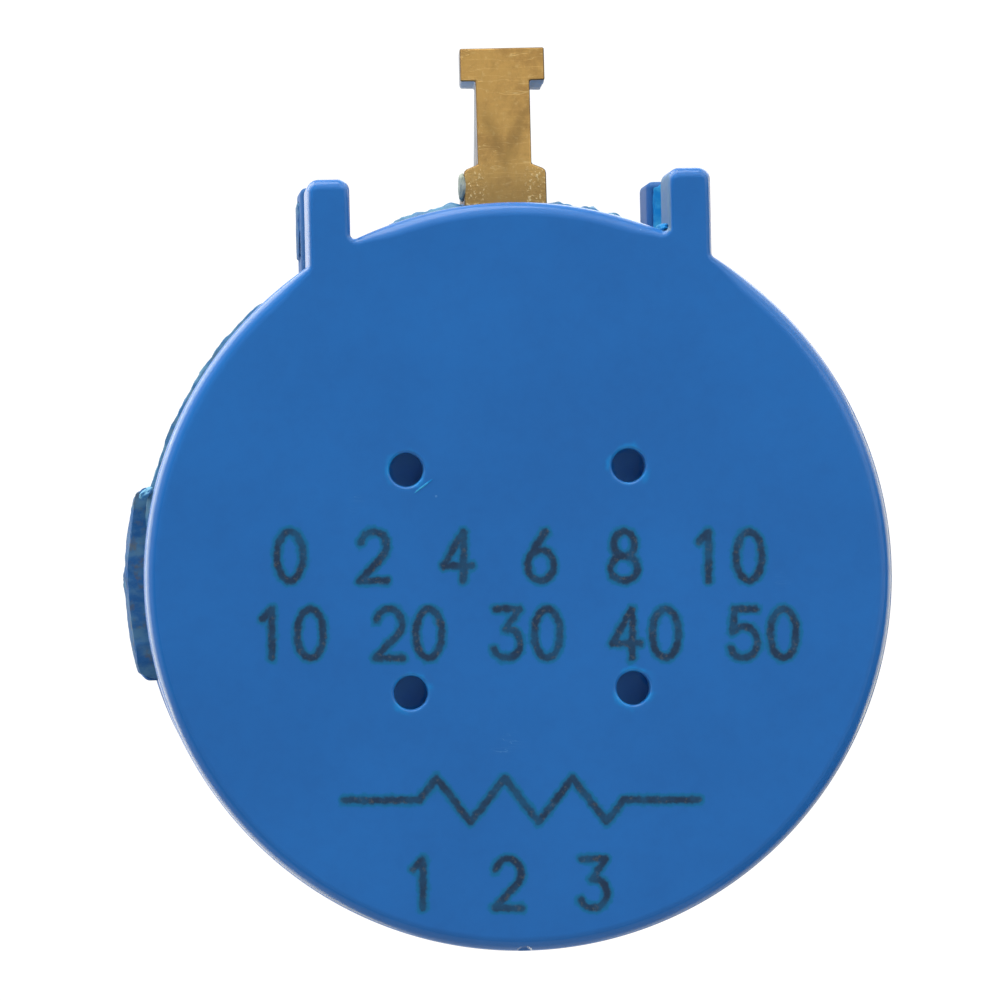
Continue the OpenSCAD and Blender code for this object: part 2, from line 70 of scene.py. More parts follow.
# Soft boxes round the object: place, size and strength in millimetres and watts
lightSetup = {
    "boxTop": {"place": (40, -165, 255), "size": 260, "watts": 0.46},
    "boxRight": {"place": (230, -230, 60), "size": 200, "watts": 0.225},
    "boxFront": {"place": (130, 250, 190), "size": 200, "watts": 0.40},
    "boxAbove": {"place": (-60, -40, 295), "size": 200, "watts": 0.88, "color": (1.0, 0.95, 0.82)},
}
# Glossy rim lights for the rear cap, in a ring beyond the object, counted from +X towards +Z,
# and broad weak ones below it and at its upper right
rimLights = {"distance": 300, "along": 105, "upperShift": 45, "size": 260, "tint": (1.0, 0.87, 0.52),
             "watts": (1.35, 0.6, 0.12, 1.6, 1.45, 1.1, 0.1, 0.45)}
rimGlows = {
    "lowGlow": {"place": (0, -60, -300), "size": 400, "watts": 0.62},
    "upperGlow": {"place": (210, -120, 190), "size": 280, "watts": 0.5},
}
rimLit = bpy.data.collections.new("rimLit")  # the pieces that the rim lights reach
surroundings = {
    "seen": 1.08, "behindCamera": 0.08,
    "leftWall": 1.7, "wallAcross": (-0.34, -0.56), "wallFrom": (-0.6, -0.5), "wallTo": (0.9, 0.6, 0.25, 1.0),
    "behindObject": 1.0, "behindAlong": (0.2, 0.9), "behindAcross": (0.5, -0.1, 0.3, 1.0),
    "above": 0.3, "aboveUp": (-0.2, 1.0),
    "floorBounce": (150, 150, 150), "floorDrop": 32, "floorSide": 520, "floorRough": 0.8,
    "paper": (240, 240, 240), "paperPale": (244, 244, 244), "paperScale": 0.04,
}


def addSoftBox(name, setup, tint=None):
    data = bpy.data.lights.new(name, "AREA")
    data.shape = "SQUARE"
    data.size = setup["size"] * toMetres
    data.energy = setup["watts"]
    data.color = tint or setup.get("color", (1, 1, 1))
    light = bpy.data.objects.new(name, data)
    aimObject(light, setup["place"], (0, 0, 0))
    light.visible_camera = False
    if tint:
        light.visible_diffuse = False
        light.light_linking.receiver_collection = rimLit


for name, setup in lightSetup.items():
    addSoftBox(name, setup)
for i, watts in enumerate(rimLights["watts"]):
    turn = math.tau * i / len(rimLights["watts"])
    along = rimLights["along"] - rimLights["upperShift"] * math.sin(turn)
    place = (rimLights["distance"] * math.cos(turn), along, rimLights["distance"] * math.sin(turn))
    addSoftBox(f"rimLight{i}", {"place": place, "size": rimLights["size"], "watts": watts}, rimLights["tint"])
for name, setup in rimGlows.items():
    addSoftBox(name, setup, rimLights["tint"])


# Node helpers: inputs are named or numbered sockets, each a value or another socket,
# whose tree is its id_data
def addNode(tree, kind, inputs=None, **settings):
    node = tree.nodes.new("ShaderNode" + kind)
    for key, value in settings.items():
        setattr(node, key, value)
    for key, value in (inputs or {}).items():
        if isinstance(value, bpy.types.NodeSocket):
            tree.links.new(value, node.inputs[key])
        else:
            node.inputs[key].default_value = value
    return node


def calc(operation, *values):
    tree = next(value.id_data for value in values if isinstance(value, bpy.types.NodeSocket))
    return addNode(tree, "Math", dict(enumerate(values)), operation=operation).outputs[0]


def times(total, *others):
    for other in others:
        total = calc("MULTIPLY", total, other)
    return total


def plus(total, *others):
    for other in others:
        total = calc("ADD", total, other)
    return total


def minus(a, b):
    return calc("SUBTRACT", a, b)


def swing(value, size):  # noise as an even swing about zero
    return times(minus(value, 0.5), size)


def ramp(value, low, high, outLow=0.0, outHigh=1.0):
    inputs = {"Value": value, "From Min": low, "From Max": high, "To Min": outLow, "To Max": outHigh}
    return addNode(value.id_data, "MapRange", inputs, interpolation_type="SMOOTHSTEP").outputs[0]


def cloud(point, scale, detail=3.0, rough=0.5):
    inputs = {"Vector": point, "Scale": scale, "Detail": detail, "Roughness": rough}
    return addNode(point.id_data, "TexNoise", inputs).outputs["Fac"]


def stretched(point, turn, scale):
    return addNode(point.id_data, "Mapping", {"Vector": point, "Rotation": turn, "Scale": scale}).outputs[0]


def axesOf(vector):
    return addNode(vector.id_data, "SeparateXYZ", {0: vector}).outputs


# A colour as seen, from 0 to 255, as the shader takes it
def rgb(*color):
    channels = []
    for value in color:
        share = value / 255
        channels.append(share / 12.92 if share <= 0.04045 else ((share + 0.055) / 1.055) ** 2.4)
    return (*channels, 1.0)


# Coats laid over a colour one after the other, each with its own share
def paint(color, *coats):
    for share, coat in coats:
        a, b = (rgb(*c) if isinstance(c, tuple) else c for c in (color, coat))
        color = addNode(share.id_data, "Mix", {0: share, 6: a, 7: b}, data_type="RGBA").outputs[2]
    return color


# A group's inputs are kinds of socket, or the numbers that they start with
def newGroup(name, inputs, outputs=("Mask",)):
    tree = bpy.data.node_groups.new(name, "ShaderNodeTree")
    for label, value in inputs.items():
        kind = value if isinstance(value, str) else "Float"
        socket = tree.interface.new_socket(label, in_out="INPUT", socket_type="NodeSocket" + kind)
        if kind == "Float":
            socket.default_value = value
    for label in outputs:
        kind = "Color" if label == "Color" else "Float"
        tree.interface.new_socket(label, in_out="OUTPUT", socket_type="NodeSocket" + kind)
    start = tree.nodes.new("NodeGroupInput")
    end = tree.nodes.new("NodeGroupOutput")

    def give(**results):
        for label, value in results.items():
            tree.links.new(value, end.inputs[label])

    return tree, start.outputs, give


def addGroup(tree, group, inputs):
    return addNode(tree, "Group", inputs, node_tree=group).outputs


skinOutputs = ("Color", "Rough", "Height")


# Thin straight scratches: a mask of narrow bands in noise that is stretched one way
def buildScratches():
    tree, given, give = newGroup("scratches", {"Point": "Vector", "Turn": 0.0, "Density": 0.3})
    turn = addNode(tree, "CombineXYZ", {0: 0.3, 1: given["Turn"], 2: 0.2}).outputs[0]
    lines = cloud(stretched(given["Point"], turn, (0.25, 2.5, 2.5)), 1.6, 2.0)
    thin = ramp(calc("ABSOLUTE", minus(lines, 0.5)), 0.0, 0.006, 1.0, 0.0)
    patch = cloud(given["Point"], 0.55, 1.0)
    give(Mask=times(thin, ramp(plus(patch, given["Density"]), 0.78, 0.9)))
    return tree


# Small round specks of dust, each with its own size, in a share of the cells
def buildSpecks():
    tree, given, give = newGroup("specks", {"Point": "Vector", "Density": 0.2, "Size": 0.04})
    cells = addNode(tree, "TexVoronoi", {"Vector": given["Point"], "Scale": 0.8}).outputs
    luck = addNode(tree, "SeparateColor", {0: cells["Color"]}).outputs
    dot = calc("LESS_THAN", cells["Distance"], times(given["Size"], luck[1]))
    give(Mask=times(dot, calc("LESS_THAN", luck[0], given["Density"])))
    return tree


# Mask of outer edges, from how far a rounded normal leaves the true one
def buildEdges():
    tree, given, give = newGroup("edges", {"Width": 0.0001})
    rounded = addNode(tree, "Bevel", {"Radius": given["Width"]}, samples=4).outputs[0]
    flat = addNode(tree, "NewGeometry").outputs["Normal"]
    likeness = addNode(tree, "VectorMath", {0: rounded, 1: flat}, operation="DOT_PRODUCT").outputs["Value"]
    give(Mask=ramp(likeness, 0.995, 0.86))
    return tree


scratchGroup = buildScratches()
speckGroup = buildSpecks()
edgeGroup = buildEdges()


# Moulded plastic: slow and fine unevenness, dust and scratches
def buildMoulded():
    tree, given, give = newGroup("moulded", {
        "Point": "Vector", "Main": "Color", "Deep": "Color", "Pale": "Color",
        "Mottle": 0.3, "Dust": 0.2, "Scratch": 0.3, "Rough": 0.35,
    }, skinOutputs)
    point = given["Point"]
    slow = cloud(point, 0.16, 3.0, 0.55)
    fine = cloud(point, 2.6, 4.0, 0.6)
    uneven = times(ramp(slow, 0.3, 0.7), given["Mottle"])
    grainy = times(ramp(fine, 0.35, 0.75), given["Mottle"], 0.35)
    dust = addGroup(tree, speckGroup, {"Point": point, "Density": given["Dust"]})[0]
    lines = [addGroup(tree, scratchGroup, {"Point": point, "Density": given["Scratch"], "Turn": turn})[0]
             for turn in (0.9, 2.3)]
    lines = calc("MAXIMUM", *lines)
    marks = calc("MAXIMUM", times(lines, 0.28), times(dust, 0.35))
    height = minus(times(fine, 0.6), times(lines, 0.5))
    give(Color=paint(given["Main"], (plus(uneven, grainy), given["Deep"]), (marks, given["Pale"])),
         Rough=plus(given["Rough"], swing(fine, 0.16), swing(slow, 0.14)),
         Height=plus(height, times(dust, 0.8)))
    return tree


# Metal: tarnish in patches, drawn or turned lines, bright scratches
def buildMetal():
    tree, given, give = newGroup("metalSkin", {
        "Point": "Vector", "Main": "Color", "Bright": "Color", "Dark": "Color", "Lines": "Vector",
        "Tarnish": 0.4, "LineDepth": 0.3, "Rough": 0.3, "Sparkle": 0.2,
    }, skinOutputs)
    point = given["Point"]
    patches = cloud(point, 1.1, 5.0, 0.62)
    grit = cloud(point, 7.0, 3.0, 0.6)
    drawn = addNode(tree, "VectorMath", {0: point, 1: given["Lines"]}, operation="MULTIPLY").outputs[0]
    lines = cloud(drawn, 4.0, 3.0, 0.6)
    thin = addGroup(tree, scratchGroup, {"Point": point, "Turn": 1.2, "Density": 0.42})[0]
    dull = times(ramp(patches, 0.42, 0.68), given["Tarnish"])
    color = paint(given["Main"], (dull, given["Dark"]),
                  (times(ramp(grit, 0.55, 0.75), given["Sparkle"]), given["Bright"]),
                  (times(ramp(lines, 0.5, 0.8), given["LineDepth"]), given["Dark"]),
                  (times(thin, 0.5), given["Bright"]))
    height = plus(times(lines, given["LineDepth"]), times(grit, given["Sparkle"]))
    give(Color=color, Rough=plus(given["Rough"], times(dull, 0.3), swing(lines, 0.25)),
         Height=minus(height, times(thin, 0.4)))
    return tree


# Cured sealant: pale and deep streaks, grime, fine wrinkles
def buildCured():
    tree, given, give = newGroup("cured", {
        "Point": "Vector", "Main": "Color", "Pale": "Color", "Grime": "Color", "Dirt": 0.3, "Rough": 0.2,
    }, skinOutputs)
    point = given["Point"]
    streaks = cloud(stretched(point, (0.4, 0.2, 0.1), (1.0, 0.5, 1.6)), 1.3, 4.0, 0.6)
    grime = cloud(point, 2.1, 5.0, 0.65)
    wrinkles = cloud(point, 5.5, 4.0, 0.6)
    dust = addGroup(tree, speckGroup, {"Point": point, "Density": 0.7, "Size": 0.12})[0]
    color = paint(given["Main"], (ramp(streaks, 0.4, 0.66), given["Pale"]),
                  (times(ramp(grime, 0.5, 0.66), given["Dirt"]), given["Grime"]),
                  (times(dust, 0.6), given["Pale"]))
    give(Color=color, Rough=plus(given["Rough"], times(grime, 0.35)),
         Height=plus(wrinkles, times(streaks, 0.8)))
    return tree


mouldedGroup = buildMoulded()
metalGroup = buildMetal()
curedGroup = buildCured()


# A material, its nodes and the object's own coordinates in millimetres
def newMaterial(name):
    material = bpy.data.materials.new(name)
    material.use_nodes = True
    tree = material.node_tree
    place = addNode(tree, "TexCoord").outputs["Object"]
    point = addNode(tree, "VectorMath", {0: place, "Scale": 1 / toMetres}, operation="SCALE").outputs[0]
    return material, tree, tree.nodes["Principled BSDF"], point


# A finish's group, with its inputs filled from the values of the same names
def addSkin(tree, group, point, values):
    inputs = {"Point": point}
    for item in group.interface.items_tree:
        key = item.name[0].lower() + item.name[1:]
        if item.in_out == "INPUT" and key in values:
            inputs[item.name] = rgb(*values[key]) if item.socket_type == "NodeSocketColor" else values[key]
    return addGroup(tree, group, inputs)


def wearSkin(tree, shader, color, rough, height, grain, strength):
    bump = addNode(tree, "Bump", {"Height": height, "Distance": grain * toMetres, "Strength": strength})
    for socket, result in (("Base Color", color), ("Roughness", rough), ("Normal", bump.outputs[0])):
        tree.links.new(result, shader.inputs[socket])


# Plastics: colours as seen, unevenness, dust, scratches, roughness and depth of the grain
plastics = {
    "capBlue": {
        "main": (37, 107, 183), "deep": (31, 97, 170), "pale": (120, 170, 214), "mottle": 0.6,
        "dust": 0.1, "scratch": 0.05, "rough": 0.40, "grain": 0.002, "sideRough": 0.19,
        "gloss": 0.22, "extras": ("holes", "film"),
    },
    "housingBlue": {
        "main": (34, 92, 158), "deep": (38, 86, 136), "pale": (120, 160, 190), "mottle": 0.7,
        "dust": 0.3, "scratch": 0.3, "rough": 0.45, "grain": 0.003, "sideRough": 0.55,
        "gloss": 0.2,
    },
    "blackHub": {
        "main": (34, 36, 40), "deep": (24, 26, 29), "pale": (90, 92, 96), "mottle": 0.5,
        "dust": 0.1, "scratch": 0.2, "rough": 0.45, "grain": 0.003,
    },
    "ivoryCarriage": {
        "main": (226, 220, 204), "deep": (208, 200, 180), "pale": (245, 243, 236), "mottle": 0.4,
        "dust": 0.05, "scratch": 0.2, "rough": 0.4, "grain": 0.002,
    },
    "washerPlastic": {
        "main": (222, 214, 192), "deep": (200, 190, 164), "pale": (240, 236, 226), "mottle": 0.4,
        "dust": 0.05, "scratch": 0.3, "rough": 0.42, "grain": 0.002,
    },
}
plastics["capMarked"] = {**plastics["capBlue"], "extras": ("holes", "ink")}
edgeLook = {"capBlue": {"width": 0.00016, "color": (88, 150, 208), "share": 0.15},
            "housingBlue": {"width": 0.00016, "color": (80, 142, 200), "share": 0.45}}
# Painted light in the blind holes: a painted highlight on their lips and a painted lighter floor deep inside
# them
holeLightLook = {"pitch": 3.3, "drop": 0.08, "rear": -19.05, "color": (20, 128, 202), "share": 0.9, "ragged": 0.5,
            "outer": (0.70, 0.52), "inner": (0.40, 0.50), "patchy": (0.42, 0.58, 0.1, 1.0),
            "floor": (80, 140, 196), "floorEdge": (0.54, 0.52), "floorDepth": (0.08, 0.2)}
filmLook = {"left": (4.4, 4.5), "right": (4.74, 4.68), "low": (10.1, 10.2), "streaks": (0.3, 0.6, 0.6, 1.0),
            "color": (94, 124, 150), "share": 0.85, "rough": 0.5}
inkLook = {"core": (24, 42, 70), "coreFrom": (0.32, 0.76), "worn": (0.25, 0.65, 0.55, 0.92), "ragged": 0.7,
           "halo": (12, 104, 150), "haloFrom": (0.0, 0.3), "haloShare": 0.85, "speck": (104, 104, 96),
           "speckFrom": (0.56, 0.72), "speckShare": 0.35, "rough": 0.2, "depth": 4.0}


# A ragged painted highlight on the lips round the blind holes, and painted light that makes the floor in them
# lighter
def addHoleLight(point, color, look):
    across, along, up = axesOf(point)
    up = plus(up, look["drop"])
    gaps = [minus(calc("ABSOLUTE", axis), look["pitch"]) for axis in (across, up)]
    reach = calc("SQRT", plus(*[times(gap, gap) for gap in gaps]))
    # painted light: lighter colour deep inside each hole
    floor = times(ramp(minus(along, look["rear"]), *look["floorDepth"]), ramp(reach, *look["floorEdge"]))
    reach = plus(reach, swing(cloud(point, 1.9, 2.0), look["ragged"]))
    patchy = ramp(cloud(point, 1.3, 1.0), *look["patchy"])
    # painted highlight on the lip round each hole
    lip = times(ramp(reach, *look["outer"]), look["share"], patchy, ramp(reach, *look["inner"]))
    return paint(color, (floor, look["floor"]), (lip, look["color"]))


# A dull grey film on the left side of the right-hand post
def addFilm(point, color, rough, look):
    across, _, up = axesOf(point)
    film = times(ramp(across, *look["left"]), ramp(across, *look["right"]), ramp(up, *look["low"]))
    streaks = cloud(stretched(point, (0, 0, 0), (1.0, 3.0, 0.6)), 3.0, 3.0)
    cover = times(film, ramp(streaks, *look["streaks"]), look["share"])
    return paint(color, (cover, look["color"])), plus(rough, times(film, look["rough"]))


# Laser marking: the piece's ink attribute is 1 along a stroke and 0 past its halo
def addInk(tree, point, color, rough, height, look):
    ink = addNode(tree, "Attribute", attribute_name="ink").outputs["Fac"]
    grit = cloud(point, 5.5, 3.0, 0.6)
    worn = cloud(point, 1.7, 3.0, 0.6)
    edge = plus(ink, swing(grit, look["ragged"]))
    halo = times(ramp(edge, *look["haloFrom"]), look["haloShare"])
    core = times(ramp(edge, *look["coreFrom"]), ramp(worn, *look["worn"]))
    specks = times(ramp(cloud(point, 9.0, 2.0), *look["speckFrom"]), core, look["speckShare"])
    color = paint(color, (halo, look["halo"]), (core, look["core"]), (specks, look["speck"]))
    return color, plus(rough, times(core, look["rough"])), plus(height, times(grit, core, look["depth"]))


def makePlastic(name, values):
    material, tree, shader, point = newMaterial(name)
    extras = values.get("extras", ())
    color, rough, height = addSkin(tree, mouldedGroup, point, values)
    # painted highlight on the hole lips and painted light in the holes
    if "holes" in extras:
        color = addHoleLight(point, color, holeLightLook)
    if name in edgeLook:
        edges = edgeLook[name]
        mask = addGroup(tree, edgeGroup, {"Width": edges["width"]})[0]
        color = paint(color, (times(mask, edges["share"]), edges["color"]))
    if "ink" in extras:
        color, rough, height = addInk(tree, point, color, rough, height, inkLook)
    if "sideRough" in values:
        facing = axesOf(addNode(tree, "NewGeometry").outputs["Normal"])[1]
        change = values["sideRough"] - values["rough"]
        rough = plus(rough, ramp(calc("ABSOLUTE", facing), 0.985, 0.93, 0.0, change))
    if "film" in extras:
        color, rough = addFilm(point, color, rough, filmLook)
    shader.inputs["IOR"].default_value = 1.5
    shader.inputs["Specular IOR Level"].default_value = values.get("gloss", 0.36)
    wearSkin(tree, shader, color, rough, height, grain=values["grain"], strength=0.5)
    return material


# Metals: colours, tarnish, direction of the drawn lines, their depth and the roughness
metals = {
    "goldPlate": {
        "main": (213, 170, 97), "bright": (240, 212, 146), "dark": (138, 104, 55), "tarnish": 0.55,
        "lines": (1.0, 1.0, 0.3), "lineDepth": 0.2, "rough": 0.42, "metallic": 0.6, "sparkle": 0.3,
    },
    "nickelPlate": {
        "main": (156, 153, 145), "bright": (204, 202, 196), "dark": (128, 124, 114),
        "tarnish": 0.3, "lines": (0.2, 3.0, 0.2), "lineDepth": 0.25, "rough": 0.33, "sparkle": 0.1,
    },
    "groundSteel": {
        "main": (176, 178, 182), "bright": (214, 216, 220), "dark": (138, 140, 144),
        "tarnish": 0.04, "lines": (0.1, 5.0, 0.1), "lineDepth": 0.25, "rough": 0.26,
        "sparkle": 0.02,
    },
    "springSteel": {
        "main": (92, 94, 98), "bright": (150, 152, 156), "dark": (58, 60, 62), "tarnish": 0.3,
        "lines": (1.0, 0.6, 1.0), "lineDepth": 0.2, "rough": 0.36, "sparkle": 0.1,
    },
    "contactMetal": {
        "main": (206, 172, 106), "bright": (238, 214, 158), "dark": (150, 118, 60), "tarnish": 0.3,
        "lines": (1.0, 0.3, 1.0), "lineDepth": 0.2, "rough": 0.28, "sparkle": 0.1,
    },
    "tinnedMetal": {
        "main": (178, 176, 166), "bright": (214, 212, 204), "dark": (124, 122, 112),
        "tarnish": 0.4, "lines": (1.0, 0.4, 1.0), "lineDepth": 0.25, "rough": 0.4, "sparkle": 0.2,
    },
    "woundWire": {
        "main": (150, 108, 66), "bright": (196, 150, 98), "dark": (92, 60, 34), "tarnish": 0.3,
        "lines": (4.0, 0.4, 4.0), "lineDepth": 0.6, "rough": 0.38, "metallic": 0.9, "sparkle": 0.2,
    },
}
# Terminals: bare grey cut edges with painted shade on top and painted light underneath, a dark V on the neck,
# crinkled sides of the flared base
terminalLook = {"bare": (132, 134, 138), "bareTop": (96, 98, 102), "bareUnder": (188, 190, 192),
                "bareMetallic": 0.3, "bareTurn": (0.5, 0.25), "smudge": (112, 88, 48),
                "veeSlope": 2.3, "veeRise": (11.6, 12.5), "veeFall": (13.4, 12.5), "veeFrom": (11.5, 12.2),
                "veeTo": (14.6, 13.4), "veeShare": 0.33, "foot": (12.6, 11.2), "footShare": 0.42,
                "sides": (0.45, 0.75), "sidesTop": (12.5, 12.1), "glint": (246, 222, 164), "glintShare": 0.75,
                "crinkle": 3.0, "outline": (92, 70, 42), "outlineTurn": (0.965, 0.85, 0.0, 0.85)}


def dressTerminal(tree, point, color, rough, height, look):
    across, _, up = axesOf(point)
    across = calc("ABSOLUTE", across)
    limb = plus(minus(up, times(across, look["veeSlope"])), swing(cloud(point, 2.2, 3.0), 0.5))
    vee = times(ramp(limb, *look["veeRise"]), ramp(limb, *look["veeFall"]),
                ramp(up, *look["veeFrom"]), ramp(up, *look["veeTo"]), look["veeShare"])
    # darker brown towards the foot
    foot = times(ramp(up, *look["foot"]), look["footShare"])
    sides = times(ramp(across, *look["sides"]), ramp(up, *look["sidesTop"]))
    crinkle = cloud(point, 9.0, 3.0, 0.7)
    # painted glints: bright highlight specks painted on the crinkled sides of the flared base
    glints = times(ramp(crinkle, 0.56, 0.64), sides, look["glintShare"])
    _, along, upward = axesOf(addNode(tree, "NewGeometry").outputs["Normal"])
    turned = calc("ABSOLUTE", along)
    outline = ramp(turned, *look["outlineTurn"])
    bare = ramp(turned, *look["bareTurn"])
    # cut edges: painted shade on the faces turned up and painted light on the faces turned down
    cut = paint(look["bare"], (ramp(upward, 0.3, 0.8), look["bareTop"]),
                (ramp(upward, -0.3, -0.8), look["bareUnder"]))
    color = paint(color, (vee, look["smudge"]), (foot, look["smudge"]), (glints, look["glint"]),
                  (outline, look["outline"]), (bare, cut))
    metallic = ramp(bare, 0.0, 1.0, metals["goldPlate"]["metallic"], look["bareMetallic"])
    height = plus(height, times(crinkle, sides, look["crinkle"]))
    return color, plus(rough, times(bare, 0.1)), height, metallic


def makeMetal(name, values):
    material, tree, shader, point = newMaterial(name)
    color, rough, height = addSkin(tree, metalGroup, point, values)
    shader.inputs["Metallic"].default_value = values.get("metallic", 1.0)
    if name == "goldPlate":
        color, rough, height, metallic = dressTerminal(tree, point, color, rough, height, terminalLook)
        tree.links.new(metallic, shader.inputs["Metallic"])
    wearSkin(tree, shader, color, rough, height, grain=0.006, strength=0.6)
    return material


# Sealants: colours, grime and gloss; the crust is a duller band at the patch's rear edge
sealants = {
    "sealantAzure": {
        "main": (24, 98, 164), "pale": (40, 122, 176), "grime": (44, 82, 110), "dirt": 0.3,
        "rough": 0.3, "wrinkle": 0.12, "gloss": 0.4,
        "rearCrust": {"from": -15.1, "to": -15.75, "color": (70, 128, 160), "share": 0.8},
    },
    "sealantTeal": {
        "main": (34, 86, 142), "pale": (70, 112, 146), "grime": (90, 88, 76), "dirt": 0.6,
        "rough": 0.42, "wrinkle": 0.2, "gloss": 0.08,
    },
    "sealantPale": {
        "main": (12, 124, 196), "pale": (60, 160, 210), "grime": (40, 110, 160), "dirt": 0.05,
        "rough": 0.42, "wrinkle": 0.06, "gloss": 0.16,
    },
    "sealantFrost": {
        "main": (76, 142, 184), "pale": (128, 180, 206), "grime": (60, 120, 160), "dirt": 0.2,
        "rough": 0.5, "wrinkle": 0.1, "gloss": 0.16,
    },
    "sealantGrey": {
        "main": (128, 140, 132), "pale": (172, 178, 166), "grime": (92, 100, 90), "dirt": 0.4,
        "rough": 0.4, "wrinkle": 0.05, "gloss": 0.3,
    },
    "seamGrime": {
        "main": (50, 102, 148), "pale": (92, 134, 160), "grime": (70, 90, 104), "dirt": 0.5,
        "rough": 0.5, "wrinkle": 0.3, "gloss": 0.1,
    },
}


def makeSealant(name, values):
    material, tree, shader, point = newMaterial(name)
    color, rough, height = addSkin(tree, curedGroup, point, values)
    if "rearCrust" in values:
        crust = values["rearCrust"]
        share = ramp(axesOf(point)[1], crust["from"], crust["to"], 0.0, crust["share"])
        patchy = ramp(cloud(point, 2.4, 3.0), 0.35, 0.6, 0.3, 1.0)
        color = paint(color, (times(share, patchy), crust["color"]))
    shader.inputs["Specular IOR Level"].default_value = values["gloss"]
    wearSkin(tree, shader, color, rough, height, grain=0.02, strength=values["wrinkle"])
    return material


finishes = {}
for make, table in ((makePlastic, plastics), (makeMetal, metals), (makeSealant, sealants)):
    for name, values in table.items():
        finishes[name] = make(name, values)
print("materials made")


# World: white to the camera, and for light dim behind the camera and bright behind the object
def addWorld(look):
    world = bpy.data.worlds.new("studio")
    bpy.context.scene.world = world
    world.use_nodes = True
    tree = world.node_tree
    across, along, up = axesOf(addNode(tree, "TexCoord").outputs["Generated"])
    wall = times(ramp(across, *look["wallAcross"]), ramp(along, *look["wallFrom"]),
                 ramp(along, *look["wallTo"]), look["leftWall"])
    behind = times(ramp(along, *look["behindAlong"]), ramp(across, *look["behindAcross"]),
                   look["behindObject"])
    above = times(ramp(up, *look["aboveUp"]), look["above"])
    level = plus(wall, behind, above, look["behindCamera"])
    seen = addNode(tree, "LightPath").outputs["Is Camera Ray"]
    plain = addNode(tree, "Mix", {0: seen, 2: level, 3: look["seen"]}, data_type="FLOAT").outputs[0]
    shade = tree.nodes["Background"].inputs
    shade["Color"].default_value = (1, 1, 1, 1)
    tree.links.new(plain, shade["Strength"])


def addFloor(look):
    bpy.ops.object.select_all(action="DESELECT")
    bpy.ops.mesh.primitive_plane_add(size=look["floorSide"] * toMetres,
                                     location=(0, 0, -look["floorDrop"] * toMetres))
    floor = bpy.context.object
    floor.name = "studioFloor"
    material, tree, shader, point = newMaterial("paperFloor")
    paper = paint(look["paper"], (ramp(cloud(point, look["paperScale"]), 0.3, 0.7), look["paperPale"]))
    seen = addNode(tree, "LightPath").outputs["Is Camera Ray"]
    tree.links.new(paint(look["floorBounce"], (seen, paper)), shader.inputs["Base Color"])
    shader.inputs["Roughness"].default_value = look["floorRough"]
    # From below the floor is clear, so that the object can be seen from there
    under = addNode(tree, "NewGeometry").outputs["Backfacing"]
    clear = addNode(tree, "BsdfTransparent").outputs[0]
    sheet = addNode(tree, "MixShader", {0: under, 1: shader.outputs[0], 2: clear}).outputs[0]
    tree.links.new(sheet, tree.nodes["Material Output"].inputs["Surface"])
    floor.data.materials.append(material)
    floor.visible_glossy = False
    floor.visible_shadow = False


addWorld(surroundings)
addFloor(surroundings)
bpy.context.scene.view_settings.view_transform = "Standard"
print("studio set")

touching = 1e-4  # millimetres within which points are one


# Modelling helpers, in millimetres
def setMode(mode):
    bpy.ops.object.mode_set(mode=mode)


def clearSelection():
    if bpy.context.mode != "OBJECT":
        setMode("OBJECT")
    bpy.ops.object.select_all(action="DESELECT")


def pick(piece):
    clearSelection()
    piece.select_set(True)
    bpy.context.view_layer.objects.active = piece


def choose(piece, kind, test):
    pick(piece)
    setMode("EDIT")
    bpy.ops.mesh.select_mode(type=kind)
    bpy.ops.mesh.select_all(action="DESELECT")
    sheet = bmesh.from_edit_mesh(piece.data)
    for part in {"VERT": sheet.verts, "EDGE": sheet.edges, "FACE": sheet.faces}[kind]:
        if test(part):
            part.select_set(True)
    sheet.select_flush_mode()
    bmesh.update_edit_mesh(piece.data)


def takeNew(name):
    piece = bpy.context.object
    piece.name = name
    return piece


def settle(piece):
    pick(piece)
    bpy.ops.object.transform_apply(location=True, rotation=True, scale=True)
    return piece


def weld(reach):
    bpy.ops.mesh.select_all(action="SELECT")
    bpy.ops.mesh.remove_doubles(threshold=reach)


def faceOutwards():
    bpy.ops.mesh.select_all(action="SELECT")
    bpy.ops.mesh.normals_make_consistent(inside=False)
    setMode("OBJECT")


def extrude(step):
    bpy.ops.mesh.extrude_region_move(TRANSFORM_OT_translate={"value": step})


def applyModifier(piece, kind, **settings):
    pick(piece)
    bpy.ops.object.modifier_add(type=kind)
    change = piece.modifiers[-1]
    for key, value in settings.items():
        setattr(change, key, value)
    bpy.ops.object.modifier_apply(modifier=change.name)


def addDrum(name, radius, rear, front, sides=256):
    clearSelection()
    bpy.ops.mesh.primitive_cylinder_add(vertices=sides, radius=radius, depth=front - rear,
                                        location=(0, (rear + front) / 2, 0), rotation=(math.pi / 2, 0, 0))
    return settle(takeNew(name))


def addBlock(name, low, high):
    clearSelection()
    middle = [(a + b) / 2 for a, b in zip(low, high)]
    bpy.ops.mesh.primitive_cube_add(size=1, location=middle, scale=[b - a for a, b in zip(low, high)])
    return settle(takeNew(name))


def combine(piece, other, operation):
    applyModifier(piece, "BOOLEAN", operation=operation, object=other, solver="EXACT")
    bpy.data.objects.remove(other)


def roundEdges(piece, test, width, segments):
    choose(piece, "EDGE", test)
    bpy.ops.mesh.bevel(offset=width, offset_type="OFFSET", segments=segments, profile=0.5, affect="EDGES")
    setMode("OBJECT")


